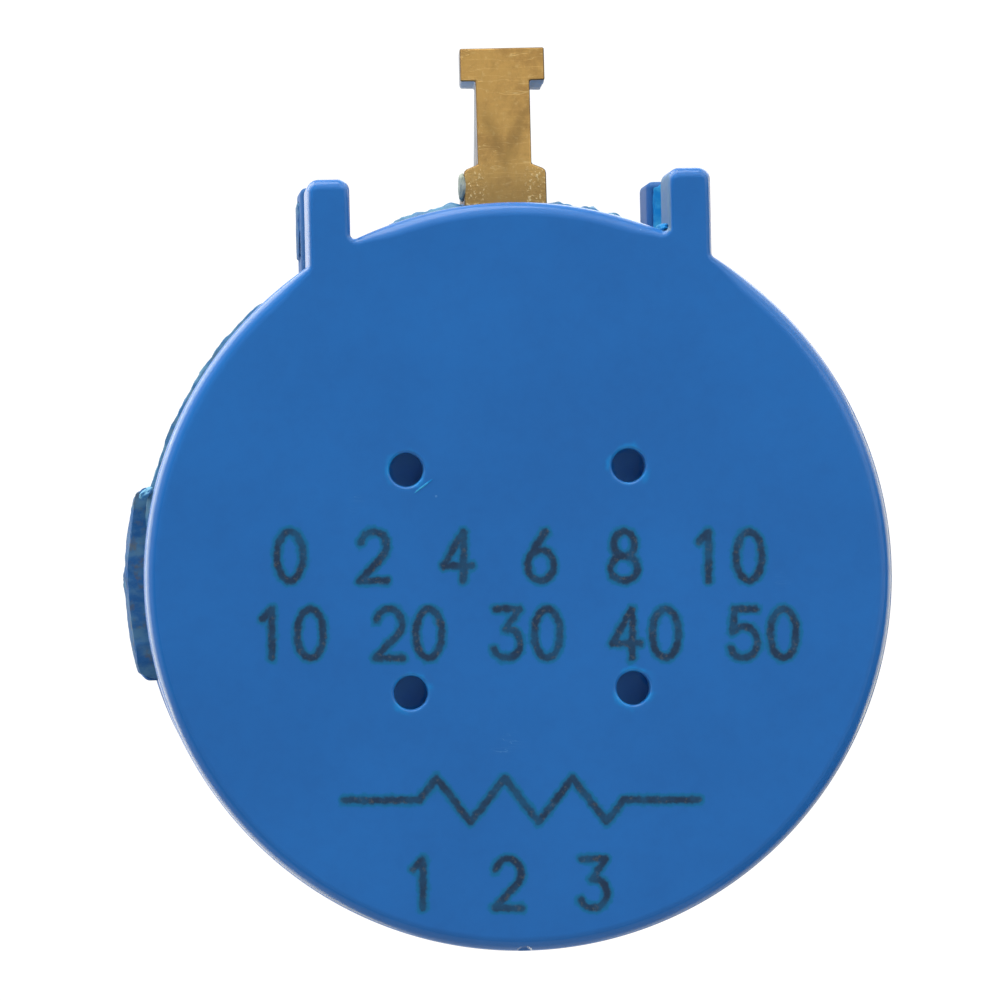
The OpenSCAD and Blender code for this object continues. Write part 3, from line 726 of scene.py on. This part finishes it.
# An outline walked point by point from one vertex; closed joins the ends
def drawOutline(name, points, closed=True):
    clearSelection()
    bpy.ops.mesh.primitive_plane_add(size=1)
    piece = takeNew(name)
    setMode("EDIT")
    bpy.ops.mesh.select_mode(type="VERT")
    bpy.ops.mesh.select_all(action="SELECT")
    bpy.ops.mesh.merge(type="CENTER")
    bpy.ops.transform.translate(value=points[0])
    for before, after in zip(points, points[1:]):
        extrude(Vector(after) - Vector(before))
    if closed:
        setMode("OBJECT")
        ends = [Vector(points[0]), Vector(points[-1])]
        choose(piece, "VERT", lambda v: any((v.co - end).length < touching for end in ends))
        bpy.ops.mesh.edge_face_add()
    return piece


# A ring or rod turned about the shaft axis from (y, radius) pairs
def turnOutline(name, pairs, steps=128, closed=True):
    piece = drawOutline(name, [(radius, y, 0) for y, radius in pairs], closed)
    bpy.ops.mesh.select_all(action="SELECT")
    bpy.ops.mesh.spin(steps=steps, angle=math.tau, center=(0, 0, 0), axis=(0, 1, 0))
    weld(touching)
    bpy.ops.mesh.dissolve_degenerate(threshold=touching)
    faceOutwards()
    return piece


def finishPiece(piece, material, nodes=(), body="case", angle=32, weighted=True):
    pick(piece)
    setMode("EDIT")
    weld(touching / 5)
    faceOutwards()
    piece.scale = (toMetres,) * 3
    settle(piece)
    bpy.ops.object.shade_smooth_by_angle(angle=math.radians(angle))
    if weighted:
        applyModifier(piece, "WEIGHTED_NORMAL", keep_sharp=True)
    piece.data.materials.clear()
    piece.data.materials.append(material)
    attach(piece, body)
    if nodes:
        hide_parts(*nodes)
    print("finished", piece.name, len(piece.data.polygons))


def sharperThan(angle):
    return lambda edge: edge.calc_face_angle(0) > angle


def onRing(y, radius, slack=0.01):
    def test(edge):
        return all(abs(v.co.y - y) < slack and abs(v.co.xz.length - radius) < slack for v in edge.verts)
    return test


# Rear cap with its two posts, four blind holes and a chip in the lower rim
capShape = {
    "radius": 11.11,
    "rear": -19.05,
    "seam": -16.15,
    "seamSteps": ((0.0, 0.06), (0.02, 0.02), (0.06, 0.0)),  # how far behind the seam and how far in
    "rimRound": 0.45,
    "rimSteps": 10,
    "rimSmoothing": 6,
    "spigot": [(-16.4, 8.87), (-16.4, 9.57), (-15.45, 9.57), (-15.45, 8.87)],
    "recess": [(-18.5, 0), (-18.5, 1.53), (-17.5, 1.53), (-17.5, 5.6), (-15.0, 5.6), (-15.0, 0)],
    "groove": ((-0.72, -16.51, 4.6), (0.72, -15.0, 10.795)),
    "stop": ((-3.3, -16.45, 6.1), (-2.2, -15.05, 7.9)),
    "holePitch": 3.3,
    "holeDrop": 0.08,
    "holeRadius": 0.5,
    "holeDepth": 1.0,
    "lipRound": 0.1,
    "posts": {1: (5.28, 12.03), -1: (5.44, 11.87)},  # middle and top of the right and left ones
    "postMiddle": 5.36,
    "postHalf": 0.63,
    "postCorner": 0.34,
    "postCap": 0.238,
    "postRound": 0.19,
    "postTopRound": 0.33,
    "blend": 0.14,
    "chipPlace": (-0.08, -18.84, -11.2),
    "chipRadius": 0.27,
}


def arc(x, z, radius, start, stop, count):
    angles = [math.radians(start + (stop - start) * i / count) for i in range(count + 1)]
    return [(x + radius * math.cos(a), z + radius * math.sin(a)) for a in angles]


# Half of the cap's outline, up the +X side: rim, blend, post, blend and rim again
def capOutline(shape, post):
    radius, blend, corner = shape["radius"], shape["blend"], shape["postCorner"]
    outer = post[0] + shape["postHalf"]
    inner = post[0] - shape["postHalf"]
    outerZ = math.sqrt((radius + blend) ** 2 - (outer + blend) ** 2)
    innerZ = math.sqrt((radius + blend) ** 2 - (inner - blend) ** 2)
    outerTurn = math.degrees(math.atan2(outerZ, outer + blend))
    innerTurn = math.degrees(math.atan2(innerZ, inner - blend))
    top = post[1] - corner
    points = arc(0, 0, radius, -90, outerTurn, 180)[:-1]
    points += arc(outer + blend, outerZ, blend, outerTurn + 180, 180, 8)
    points += [(outer, outerZ + (top - outerZ) * i / 6) for i in range(1, 6)]
    points += arc(outer - corner, top, corner, 0, 90, 8)
    points += arc(inner + corner, top, corner, 90, 180, 8)
    points += [(inner, top + (innerZ - top) * i / 6) for i in range(1, 6)]
    points += arc(inner - blend, innerZ, blend, 0, innerTurn - 180, 8)
    points += arc(0, 0, radius, innerTurn, 90, 40)[1:]
    return points


# How far each point of the outline is drawn in: less by the posts, more on their tops
def rimRounds(full, shape):
    beyond = np.linalg.norm(full, axis=1) - shape["radius"]
    nearPost = np.abs(np.abs(full[:, 0]) - shape["postMiddle"]) - shape["postHalf"]
    share = np.clip(nearPost, 0, 1) * (full[:, 1] > 0) + (full[:, 1] <= 0)
    share = np.where(beyond > 0.02, 0, share)
    tops = np.where(full[:, 0] > 0, shape["posts"][1][1], shape["posts"][-1][1]) - shape["postCap"]
    change = shape["rimRound"] - shape["postRound"]
    share = np.where(full[:, 1] > tops, (shape["postTopRound"] - shape["postRound"]) / change, share)
    for _ in range(shape["rimSmoothing"]):
        share = (np.roll(share, 1) + share * 2 + np.roll(share, -1)) / 4
    return shape["postRound"] + change * share


# Rings of the outline, drawn in along its normals as the rear edge rounds over
def loftCap(shape):
    right = capOutline(shape, shape["posts"][1])
    left = capOutline(shape, shape["posts"][-1])
    full = np.array(right + [(-x, z) for x, z in reversed(left[1:-1])])
    along = np.roll(full, -1, 0) - np.roll(full, 1, 0)
    outward = np.stack([along[:, 1], -along[:, 0]], 1)
    outward /= np.linalg.norm(outward, axis=1)[:, None]
    rounds = rimRounds(full, shape)
    rings = []
    for step, inward in shape["seamSteps"]:
        rings.append(np.insert(full - outward * inward, 1, shape["seam"] - step, axis=1))
    for i in range(shape["rimSteps"] + 1):
        turn = math.pi / 2 * i / shape["rimSteps"]
        ring = full - outward * (rounds * (1 - math.cos(turn)))[:, None]
        rings.append(np.insert(ring, 1, shape["rear"] + rounds * (1 - math.sin(turn)), axis=1))
    count = len(full)
    last = (len(rings) - 1) * count
    faces = [tuple(range(count))]
    for start in range(0, last, count):
        for i in range(count):
            j = (i + 1) % count
            faces.append((start + i, start + count + i, start + count + j, start + j))
    faces.append(tuple(range(last + count - 1, last - 1, -1)))
    mesh = bpy.data.meshes.new("rearCap")
    mesh.from_pydata(np.concatenate(rings).tolist(), [], faces)
    cap = bpy.data.objects.new("rearCap", mesh)
    bpy.context.scene.collection.objects.link(cap)
    choose(cap, "FACE", lambda f: True)
    faceOutwards()
    return cap


# Outline of what a blind hole with a rounded lip takes away, from the rear face inwards
def holeOutline(shape):
    lip, radius = shape["lipRound"], shape["holeRadius"]
    pairs = [(-0.3, 0), (-0.3, radius + lip)]
    for i in range(7):
        turn = math.pi / 2 * i / 6
        pairs.append((lip * (1 - math.cos(turn)), radius + lip * (1 - math.sin(turn))))
    return pairs + [(shape["holeDepth"], radius), (shape["holeDepth"], 0)]


def buildCap(shape):
    cap = loftCap(shape)
    pitch = shape["holePitch"]
    for x, z in ((-pitch, -pitch), (-pitch, pitch), (pitch, -pitch), (pitch, pitch)):
        hole = turnOutline("hole", holeOutline(shape), 48, closed=False)
        hole.location = (x, shape["rear"], z - shape["holeDrop"])
        combine(cap, settle(hole), "DIFFERENCE")
    combine(cap, turnOutline("recess", shape["recess"], closed=False), "DIFFERENCE")
    combine(cap, turnOutline("spigot", shape["spigot"], 256), "UNION")
    combine(cap, addBlock("groove", *shape["groove"]), "DIFFERENCE")
    combine(cap, addBlock("stop", *shape["stop"]), "UNION")
    clearSelection()
    bpy.ops.mesh.primitive_uv_sphere_add(segments=32, ring_count=16, radius=shape["chipRadius"],
                                         location=shape["chipPlace"])
    combine(cap, settle(takeNew("chip")), "DIFFERENCE")
    return cap


rearCap = buildCap(capShape)
finishPiece(rearCap, finishes["capBlue"], ["rear_cap"])
rimLit.objects.link(rearCap)

# Strokes of the marking, in a unit box, as lists of points and arcs (centre, radii, from, to)
glyphs = {
    "0": [[("arc", 0.5, 0.5, 0.42, 0.5, 90, 450)]],
    "1": [[(0.24, 0.80), (0.54, 1.0), (0.54, 0.0)]],
    "2": [[("arc", 0.5, 0.70, 0.42, 0.30, 165, -35), (0.06, 0.0), (0.94, 0.0)]],
    "3": [[(0.10, 1.0), (0.86, 1.0), (0.42, 0.58), ("arc", 0.46, 0.30, 0.45, 0.30, 75, -155)]],
    "4": [[(0.70, 0.0), (0.70, 1.0), (0.06, 0.30), (0.96, 0.30)]],
    "5": [[(0.88, 1.0), (0.20, 1.0), (0.12, 0.52), ("arc", 0.48, 0.32, 0.45, 0.32, 115, -155)]],
    "6": [[(0.66, 1.0), (0.30, 0.66), ("arc", 0.5, 0.31, 0.42, 0.31, 150, 510)]],
    "8": [[("arc", 0.5, 0.75, 0.34, 0.25, 270, 630)], [("arc", 0.5, 0.25, 0.43, 0.25, 90, 450)]],
    "~": [[(0.0, 0.5), (1.1, 0.5), (1.35, 0.95), (1.85, 0.05), (2.35, 0.95), (2.85, 0.05),
           (3.35, 0.95), (3.85, 0.05), (4.1, 0.5), (5.2, 0.5)]],
}
marking = {
    "rows": [
        {"text": "0 2 4 6 8 10", "left": -7.27, "low": -0.13, "step": 1.238},
        {"text": "10 20 30 40 50", "left": -7.84, "low": -2.42, "step": 1.17},
        {"text": "~", "left": -5.2, "low": -7.35, "step": 1.25, "wide": 2.02},
        {"text": "1 2 3", "left": -3.37, "low": -9.82, "step": 1.28},
    ],
    "width": 0.92,
    "height": 1.45,
    "tilt": -1.2,
    "reach": 0.23,
    "cell": 0.045,
    "proud": 0.003,
    "sink": 0.02,
}


def strokePoints(stroke):
    points = []
    for part in stroke:
        if part[0] != "arc":
            points.append(part)
            continue
        _, x, y, wide, tall, start, stop = part
        count = max(6, int(abs(stop - start) / 12))
        for i in range(count + 1):
            a = math.radians(start + (stop - start) * i / count)
            points.append((x + wide * math.cos(a), y + tall * math.sin(a)))
    return points


def rowSegments(row, look):
    segments = []
    for i, letter in enumerate(row["text"]):
        for stroke in glyphs.get(letter, []):
            points = [(row["left"] + i * row["step"] + x * row.get("wide", look["width"]),
                       row["low"] + y * look["height"]) for x, y in strokePoints(stroke)]
            segments += list(zip(points, points[1:]))
    return np.array(segments)


def buildRow(row, look):
    segments = rowSegments(row, look)
    low = segments.reshape(-1, 2).min(0) - look["reach"]
    high = segments.reshape(-1, 2).max(0) + look["reach"]
    counts = [int((b - a) / look["cell"]) for a, b in zip(low, high)]
    clearSelection()
    bpy.ops.mesh.primitive_grid_add(x_subdivisions=counts[0], y_subdivisions=counts[1], size=1)
    piece = takeNew("row")
    places = np.zeros(len(piece.data.vertices) * 3)
    piece.data.vertices.foreach_get("co", places)
    flat = (places.reshape(-1, 3)[:, :2] + 0.5) * (high - low) + low
    nearest = np.full(len(flat), np.inf)
    for start, stop in segments:
        along = stop - start
        share = np.clip((flat - start) @ along / (along @ along), 0, 1)
        nearest = np.minimum(nearest, np.linalg.norm(flat - start - share[:, None] * along, axis=1))
    ink = np.clip(1 - nearest / look["reach"], 0, 1)
    turn = math.radians(look["tilt"])
    x = flat[:, 0] * math.cos(turn) - flat[:, 1] * math.sin(turn)
    z = flat[:, 0] * math.sin(turn) + flat[:, 1] * math.cos(turn)
    y = np.full(len(x), capShape["rear"] - look["proud"])
    piece.data.vertices.foreach_set("co", np.stack([x, y, z], 1).ravel())
    layer = piece.data.attributes.new("ink", "FLOAT", "POINT")
    layer.data.foreach_set("value", ink)
    piece.data.update()
    choose(piece, "FACE", lambda f: all(ink[v.index] == 0 for v in f.verts))
    bpy.ops.mesh.delete(type="FACE")
    bpy.ops.mesh.select_all(action="SELECT")
    extrude((0, look["sink"], 0))
    setMode("OBJECT")
    return piece


def buildMarking(look):
    rows = [buildRow(row, look) for row in look["rows"]]
    pick(rows[0])
    for row in rows:
        row.select_set(True)
    bpy.ops.object.join()
    return takeNew("rearMarking")


rearMarking = buildMarking(marking)
finishPiece(rearMarking, finishes["capMarked"], weighted=False)
rimLit.objects.link(rearMarking)
print("rear cap and marking built")

# Main housing: a cup with two posts and a side pad; cuts are the pad's pocket, the slots
# for the terminals from the rear, and the channel that joins them
housingShape = {
    "radius": 11.03,
    "bore": 9.6,
    "seam": -16.15,
    "seamRound": 0.05,
    "frontWall": -1.4,
    "frontRound": 0.4,
    "posts": (-5.36, 5.34),
    "postPlace": (-9.75, -6.85),
    "postHalf": 0.63,
    "postRoot": 9.0,
    "postTop": 12.1,
    "postRound": 0.2,
    "padRadius": 11.5,
    "padPlace": (-15.05, -4.05),
    "padBlock": ((-12, -16.05, -2.9), (-10.2, -3.05, 2.9)),
    "padRound": 0.16,
    "bushingSeat": [(-1.9, 0), (-1.9, 5.5), (-1.0, 5.5), (-1.0, 6.5), (-0.4, 6.5), (-0.4, 5.5), (0.5, 5.5),
                    (0.5, 0)],
    "cuts": [((-12.5, -13.55, -1.7), (-10.3, -5.55, 1.7)),
             ((-0.84, -16.65, 9.3), (0.84, -15.1, 11.53)), ((-0.64, -11.12, 9.3), (1.04, -10.02, 11.53)),
             ((-0.44, -6.04, 9.3), (1.24, -4.94, 11.53)), ((-0.5, -14.8, 9.3), (0.9, -2.0, 10.4))],
    "stop": ((2.2, -2.2, 6.1), (3.3, -1.1, 7.9)),
}


# A post with rounded outer edges, from inside the wall up to its top
def addPost(x, shape):
    half, root = shape["postHalf"], shape["postRoot"]
    low, high = shape["postPlace"]
    post = addBlock("post", (x - half, low, root), (x + half, high, shape["postTop"]))
    roundEdges(post, lambda e: any(v.co.z > root + 0.1 for v in e.verts), shape["postRound"], 4)
    return post


def buildHousing(shape):
    housing = addDrum("mainHousing", shape["radius"], shape["seam"], 0)
    roundEdges(housing, onRing(0, shape["radius"]), shape["frontRound"], 6)
    roundEdges(housing, onRing(shape["seam"], shape["radius"]), shape["seamRound"], 2)
    pad = addDrum("pad", shape["padRadius"], *shape["padPlace"])
    combine(pad, addBlock("side", *shape["padBlock"]), "INTERSECT")
    combine(housing, pad, "UNION")
    outer = shape["padRadius"] - 0.01
    roundEdges(housing, lambda e: sharperThan(0.8)(e) and all(v.co.xz.length > outer for v in e.verts),
               shape["padRound"], 4)
    for x in shape["posts"]:
        combine(housing, addPost(x, shape), "UNION")
    combine(housing, addDrum("bore", shape["bore"], shape["seam"] - 1, shape["frontWall"]), "DIFFERENCE")
    combine(housing, turnOutline("seat", shape["bushingSeat"], closed=False), "DIFFERENCE")
    for low, high in shape["cuts"]:
        combine(housing, addBlock("cut", low, high), "DIFFERENCE")
    combine(housing, addBlock("stop", *shape["stop"]), "UNION")
    return housing


finishPiece(buildHousing(housingShape), finishes["housingBlue"], ["housing"])
print("housing built")

# Bushing with a 3/8-32 thread, a relief by the mounting face and a seat in the front wall;
# the envelope keeps the thread's chamfered outside, and outlines are (y, radius) pairs
bushingShape = {
    "radius": 4.7625,
    "pitch": 0.79375,
    "depth": 0.46,
    "crest": 0.11,
    "foot": 0.15,
    "turns": 14,
    "steps": 96,
    "turnsFrom": -1.5,
    "threadStart": 0.65,
    "length": 7.92,
    "envelope": [(0.45, 0), (0.45, 4.2825), (0.95, 4.7825), (7.52, 4.7825), (7.92, 4.3625), (8.22, 4.0),
                 (8.22, 0)],
    "bore": [(-2.0, 0), (-2.0, 3.2), (7.67, 3.2), (7.97, 3.5), (8.42, 3.5), (8.42, 0)],
    "seat": [(-1.4, 3.2), (-1.4, 5.5), (-1.0, 5.5), (-1.0, 6.5), (-0.4, 6.5), (-0.4, 5.5), (0.0, 5.5),
             (0.0, 4.7625), (0.68, 4.7625), (0.78, 4.6), (0.78, 3.2)],
}


def buildThread(shape):
    radius, y = shape["radius"], shape["turnsFrom"]
    inner = radius - shape["depth"]
    flank = (shape["pitch"] - shape["crest"] - shape["foot"]) / 2
    thread = drawOutline("threadedBushing", [
        (inner, y, 0), (inner, y + shape["foot"], 0), (radius, y + shape["foot"] + flank, 0),
        (radius, y + shape["foot"] + flank + shape["crest"], 0), (inner, y + shape["pitch"], 0),
    ], closed=False)
    applyModifier(thread, "SCREW", axis="Y", angle=math.tau, screw_offset=shape["pitch"],
                  iterations=shape["turns"], steps=shape["steps"], render_steps=shape["steps"],
                  use_merge_vertices=True, merge_threshold=touching)
    for y, forward in ((shape["threadStart"], 1), (shape["length"], -1)):
        setMode("EDIT")
        weld(touching)
        bpy.ops.mesh.bisect(plane_co=(0, y, 0), plane_no=(0, forward, 0), use_fill=True, clear_inner=True)
        faceOutwards()
    return thread


def buildBushing(shape):
    bushing = buildThread(shape)
    combine(bushing, turnOutline("envelope", shape["envelope"], closed=False), "INTERSECT")
    combine(bushing, turnOutline("seat", shape["seat"]), "UNION")
    combine(bushing, turnOutline("bore", shape["bore"], closed=False), "DIFFERENCE")
    return bushing


finishPiece(buildBushing(bushingShape), finishes["nickelPlate"], ["bushing"], angle=28)
print("bushing built")

# Shaft, its retaining ring and the thrust washer, as (y, radius) outlines
shaftShape = {
    "outline": [(-18.4, 0), (-18.4, 1.42), (-18.32, 1.5), (-17.19, 1.5), (-17.19, 2.4), (-1.73, 2.4),
                (-1.73, 3.12), (-1.68, 3.175), (8.25, 3.175), (8.25, 2.845), (8.85, 2.845), (8.85, 3.175),
                (20.22, 3.175), (20.56, 2.86), (20.62, 2.76), (20.62, 0.36), (20.3, 0.0)],
    "ring": {"outline": [(8.27, 2.865), (8.27, 4.4), (8.83, 4.4), (8.83, 2.865)], "round": 0.08,
             "gap": ((-1.3, 7, 0), (1.3, 10, 6))},
    "washer": {"outline": [(7.96, 3.225), (7.96, 4.5), (8.21, 4.5), (8.21, 3.225)], "round": 0.05},
}


def buildRing(name, shape):
    piece = turnOutline(name, shape["outline"])
    if "gap" in shape:
        combine(piece, addBlock("gap", *shape["gap"]), "DIFFERENCE")
    roundEdges(piece, sharperThan(0.8), shape["round"], 3)
    return piece


finishPiece(turnOutline("turnedShaft", shaftShape["outline"], 160, closed=False),
            finishes["groundSteel"], ["shaft"], body="rotor")
finishPiece(buildRing("retainingRing", shaftShape["ring"]), finishes["springSteel"],
            ["retaining_ring"], body="rotor")
finishPiece(buildRing("thrustRing", shaftShape["washer"]), finishes["groundSteel"],
            ["thrust_washer"], body="rotor")
print("shaft built")

# Terminals: half outlines of the flare from the foot up and of the head about its tip, mirrored
terminalShape = {
    "flare": [(0.79, 0.0), (1.24, 0.0), (1.24, 0.98), (1.22, 1.07), (1.15, 1.14), (0.81, 1.28)],
    "head": [(0.815, -1.0), (1.27, -1.0), (1.27, 0.0)],
    "rootZ": 10.375,
    "baseZ": 11.03,
    "footHalf": 0.79,
    "footTop": 0.12,
    "thick": 1.0,
    "lean": -5.0,
    "twist": -1.2,
    "round": 0.055,
}
terminals = {
    "rearTerminal": {"node": "terminal_rear", "place": (0.0, -16.15), "tip": 4.80, "splay": 0.0},
    "middleTerminal": {"node": "terminal_middle", "place": (0.2, -11.07), "tip": 5.07, "splay": 1.0},
    "frontTerminal": {"node": "terminal_front", "place": (0.4, -5.99), "tip": 5.34, "splay": 2.0},
}


def turnAbout(degrees, axis):
    return Matrix.Rotation(math.radians(degrees), 4, axis)


def buildTerminal(name, own, shape):
    right = shape["flare"] + [(x, own["tip"] + z) for x, z in shape["head"]]
    left = [(-x, z) for x, z in reversed(right)]
    piece = drawOutline(name, [(x, 0, z) for x, z in right + left])
    bpy.ops.mesh.select_all(action="SELECT")
    bpy.ops.mesh.edge_face_add()
    extrude((0, shape["thick"], 0))
    faceOutwards()
    roundEdges(piece, sharperThan(0.9), shape["round"], 3)
    x, y = own["place"]
    front = y + shape["thick"]
    turned = Matrix.Translation((x, front, shape["baseZ"])) @ turnAbout(own["splay"], "Y")
    turned = turned @ turnAbout(shape["lean"], "X") @ turnAbout(shape["twist"], "Z")
    piece.matrix_world = turned @ Matrix.Translation((0, -shape["thick"], 0))
    settle(piece)
    foot = addBlock("foot", (x - shape["footHalf"], y, shape["rootZ"]),
                    (x + shape["footHalf"], front, shape["baseZ"] + shape["footTop"]))
    combine(piece, foot, "UNION")
    return piece


for name, own in terminals.items():
    finishPiece(buildTerminal(name, own, terminalShape), finishes["goldPlate"], [own["node"]])
print("terminals built")

# Sealant on the housing: patches wrapped on a drum, with lumps and ragged edges;
# edge is the share of the patch that slopes at its sides, rear and front
puddles = {
    "topSealant": {
        "centre": 0.0, "across": 8.0, "along": (-16.1, -3.9), "rise": 0.2, "ripple": 0.6,
        "edge": (0.1, 0.02, 0.06), "ragged": 0.3, "skirt": 0.06, "seed": 3.1,
        "coat": "sealantAzure", "slot": "sealant_blue", "nodes": ["terminal_sealant"],
        "lumps": [(0.0, -15.4, 1.3, 0.2), (0.2, -10.4, 1.5, 0.2), (0.4, -5.4, 1.5, 0.2),
                  (-3.2, -15.8, 0.4, 0.09), (-2.5, -15.8, 0.7, 0.12), (-1.6, -15.8, 0.5, 0.1),
                  (2.6, -15.8, 0.7, 0.09), (1.7, -15.8, 0.5, 0.13), (3.4, -15.8, 0.4, 0.11)],
    },
    "padSealant": {
        "centre": 90.0, "across": 6.1, "along": (-15.33, -3.8), "rise": 0.53, "ripple": 0.1,
        "edge": (0.09, 0.014, 0.014), "ragged": 0.2, "skirt": 0.1, "seed": 8.4,
        "coat": "sealantTeal", "slot": "sealant_teal", "nodes": ["pad_sealant"],
        "lumps": [(0.45, -14.6, 0.8, 0.11), (0.3, -10.0, 1.2, 0.07), (-1.6, -13.9, 0.7, 0.04),
                  (2.2, -14.7, 0.7, 0.05)],
    },
    "seamSealant": {
        "centre": 60.0, "across": 9.4, "along": (-16.12, -13.6), "rise": 0.17, "ripple": 0.5,
        "edge": (0.16, 0.04, 0.8), "ragged": 0.35, "skirt": 0.06, "seed": 5.5, "coat": "seamGrime",
        "slot": "sealant_teal", "cells": (90, 40),
        "lumps": [(-1.2, -15.7, 0.8, 0.05), (1.8, -15.6, 0.7, 0.05)],
    },
}
sealantWall = 0.25  # thickness of a patch below its skin


def pourPuddle(name, spec, drum):
    clearSelection()
    columns, rows = spec.get("cells", (120, 170))
    bpy.ops.mesh.primitive_grid_add(x_subdivisions=columns, y_subdivisions=rows, size=1)
    piece = takeNew(name)
    low, high = spec["along"]
    for vertex in piece.data.vertices:
        u, w = vertex.co.x, vertex.co.y
        across = u * spec["across"]
        y = low + (w + 0.5) * (high - low)
        spot = Vector((across * 0.9, y * 0.9, spec["seed"]))
        broad = noise.noise(spot)
        fine = noise.noise(spot * 3.1) + 0.5 * noise.noise(spot * 7.3)
        side, rear, front = spec["edge"]
        margin = min((0.5 - abs(u)) / side, (0.5 + w) / rear, (0.5 - w) / front)
        cover = max(0.0, min(1.0, margin + (broad + fine * 0.4) * spec["ragged"]))
        cover = cover * cover * (3 - 2 * cover) if margin > 0.02 else 0.0
        height = spec["rise"] * (1 + spec["ripple"] * (broad * 0.6 + fine * 0.35))
        for lumpX, lumpY, wide, tall in spec["lumps"]:
            away = ((across - lumpX) ** 2 + (y - lumpY) ** 2) / (wide * wide)
            height += tall * math.exp(-away * 2.5) * (1 + 0.6 * fine)
        radius = drum + (height + spec["skirt"]) * cover - spec["skirt"]
        angle = math.radians(spec["centre"]) - across / drum
        vertex.co = (-radius * math.sin(angle), y, radius * math.cos(angle))
    applyModifier(piece, "SOLIDIFY", thickness=sealantWall)
    return piece


for name, spec in puddles.items():
    finishPiece(pourPuddle(name, spec, housingShape["radius"]), finishes[spec["coat"]],
                spec.get("nodes", ()), weighted=False)

# Loose smears and drops of sealant: middle, half sizes and seed
drops = {
    "postSmear": {
        "place": (5.36, -9.78, 11.12), "half": (0.46, 0.07, 0.84), "seed": 1.7, "boxy": 0.75,
        "lumpy": 0.6, "coat": "sealantPale",
    },
    "postDrip": {
        "place": (-5.97, -8.3, 10.8), "half": (0.1, 1.2, 0.95), "seed": 4.4, "boxy": 0.5,
        "lumpy": 0.5, "coat": "sealantTeal",
    },
    "footDrop": {
        "place": (4.56, -17.75, 10.27), "half": (0.19, 1.1, 0.15), "seed": 6.2, "boxy": 0.3,
        "lumpy": 0.4, "coat": "sealantPale",
    },
    "flareDrop": {
        "place": (-1.3, -15.75, 11.72), "half": (0.12, 0.4, 0.42), "seed": 9.5, "boxy": 0.2,
        "lumpy": 0.4, "coat": "sealantGrey",
    },
    "padTopDrip": {
        "place": (-10.93, -15.85, 2.74), "half": (0.27, 0.3, 0.13), "seed": 7.7, "boxy": 0.2,
        "lumpy": 0.7, "coat": "sealantFrost", "turn": -32,
    },
    "lipStreak": {
        "place": (-2.8, -19.05, 2.73), "half": (0.33, 0.02, 0.03), "seed": 2.3, "boxy": 0.0,
        "lumpy": 1.0, "coat": "sealantPale", "turn": -36,
    },
}


def shapeDrop(name, spec):
    clearSelection()
    bpy.ops.mesh.primitive_ico_sphere_add(subdivisions=5, radius=1)
    piece = takeNew(name)
    for vertex in piece.data.vertices:
        point = vertex.co.copy()
        widest = max(abs(point.x), abs(point.y), abs(point.z))
        full = point.lerp(point / widest, spec["boxy"])
        swell = 1 + 0.22 * spec["lumpy"] * noise.noise(point * 2.1 + Vector((spec["seed"], 0, 0)))
        swell += 0.08 * spec["lumpy"] * noise.noise(point * 6.0 + Vector((0, spec["seed"], 0)))
        vertex.co = [p * h * swell for p, h in zip(full, spec["half"])]
    piece.rotation_euler = (0, math.radians(spec.get("turn", 0)), 0)
    piece.location = spec["place"]
    return settle(piece)


for name, spec in drops.items():
    finishPiece(shapeDrop(name, spec), finishes[spec["coat"]], weighted=False)
print("sealant poured")

# The frame's own solids inside the case keep their shapes
innerFinish = {
    "woundWire": ["resistance_element"],
    "tinnedMetal": ["end_tap_front", "end_tap_rear"],
    "contactMetal": ["wiper_brush", "collector_strip", "slip_ring", "wiper_contact", "collector_contact"],
    "washerPlastic": ["spacer_washer"],
    "blackHub": ["rotor_hub"],
    "ivoryCarriage": ["carriage"],
}
for name, nodes in innerFinish.items():
    for node in nodes:
        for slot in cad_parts[node].material_slots:
            slot.material = finishes[name]
print("inner pieces finished")
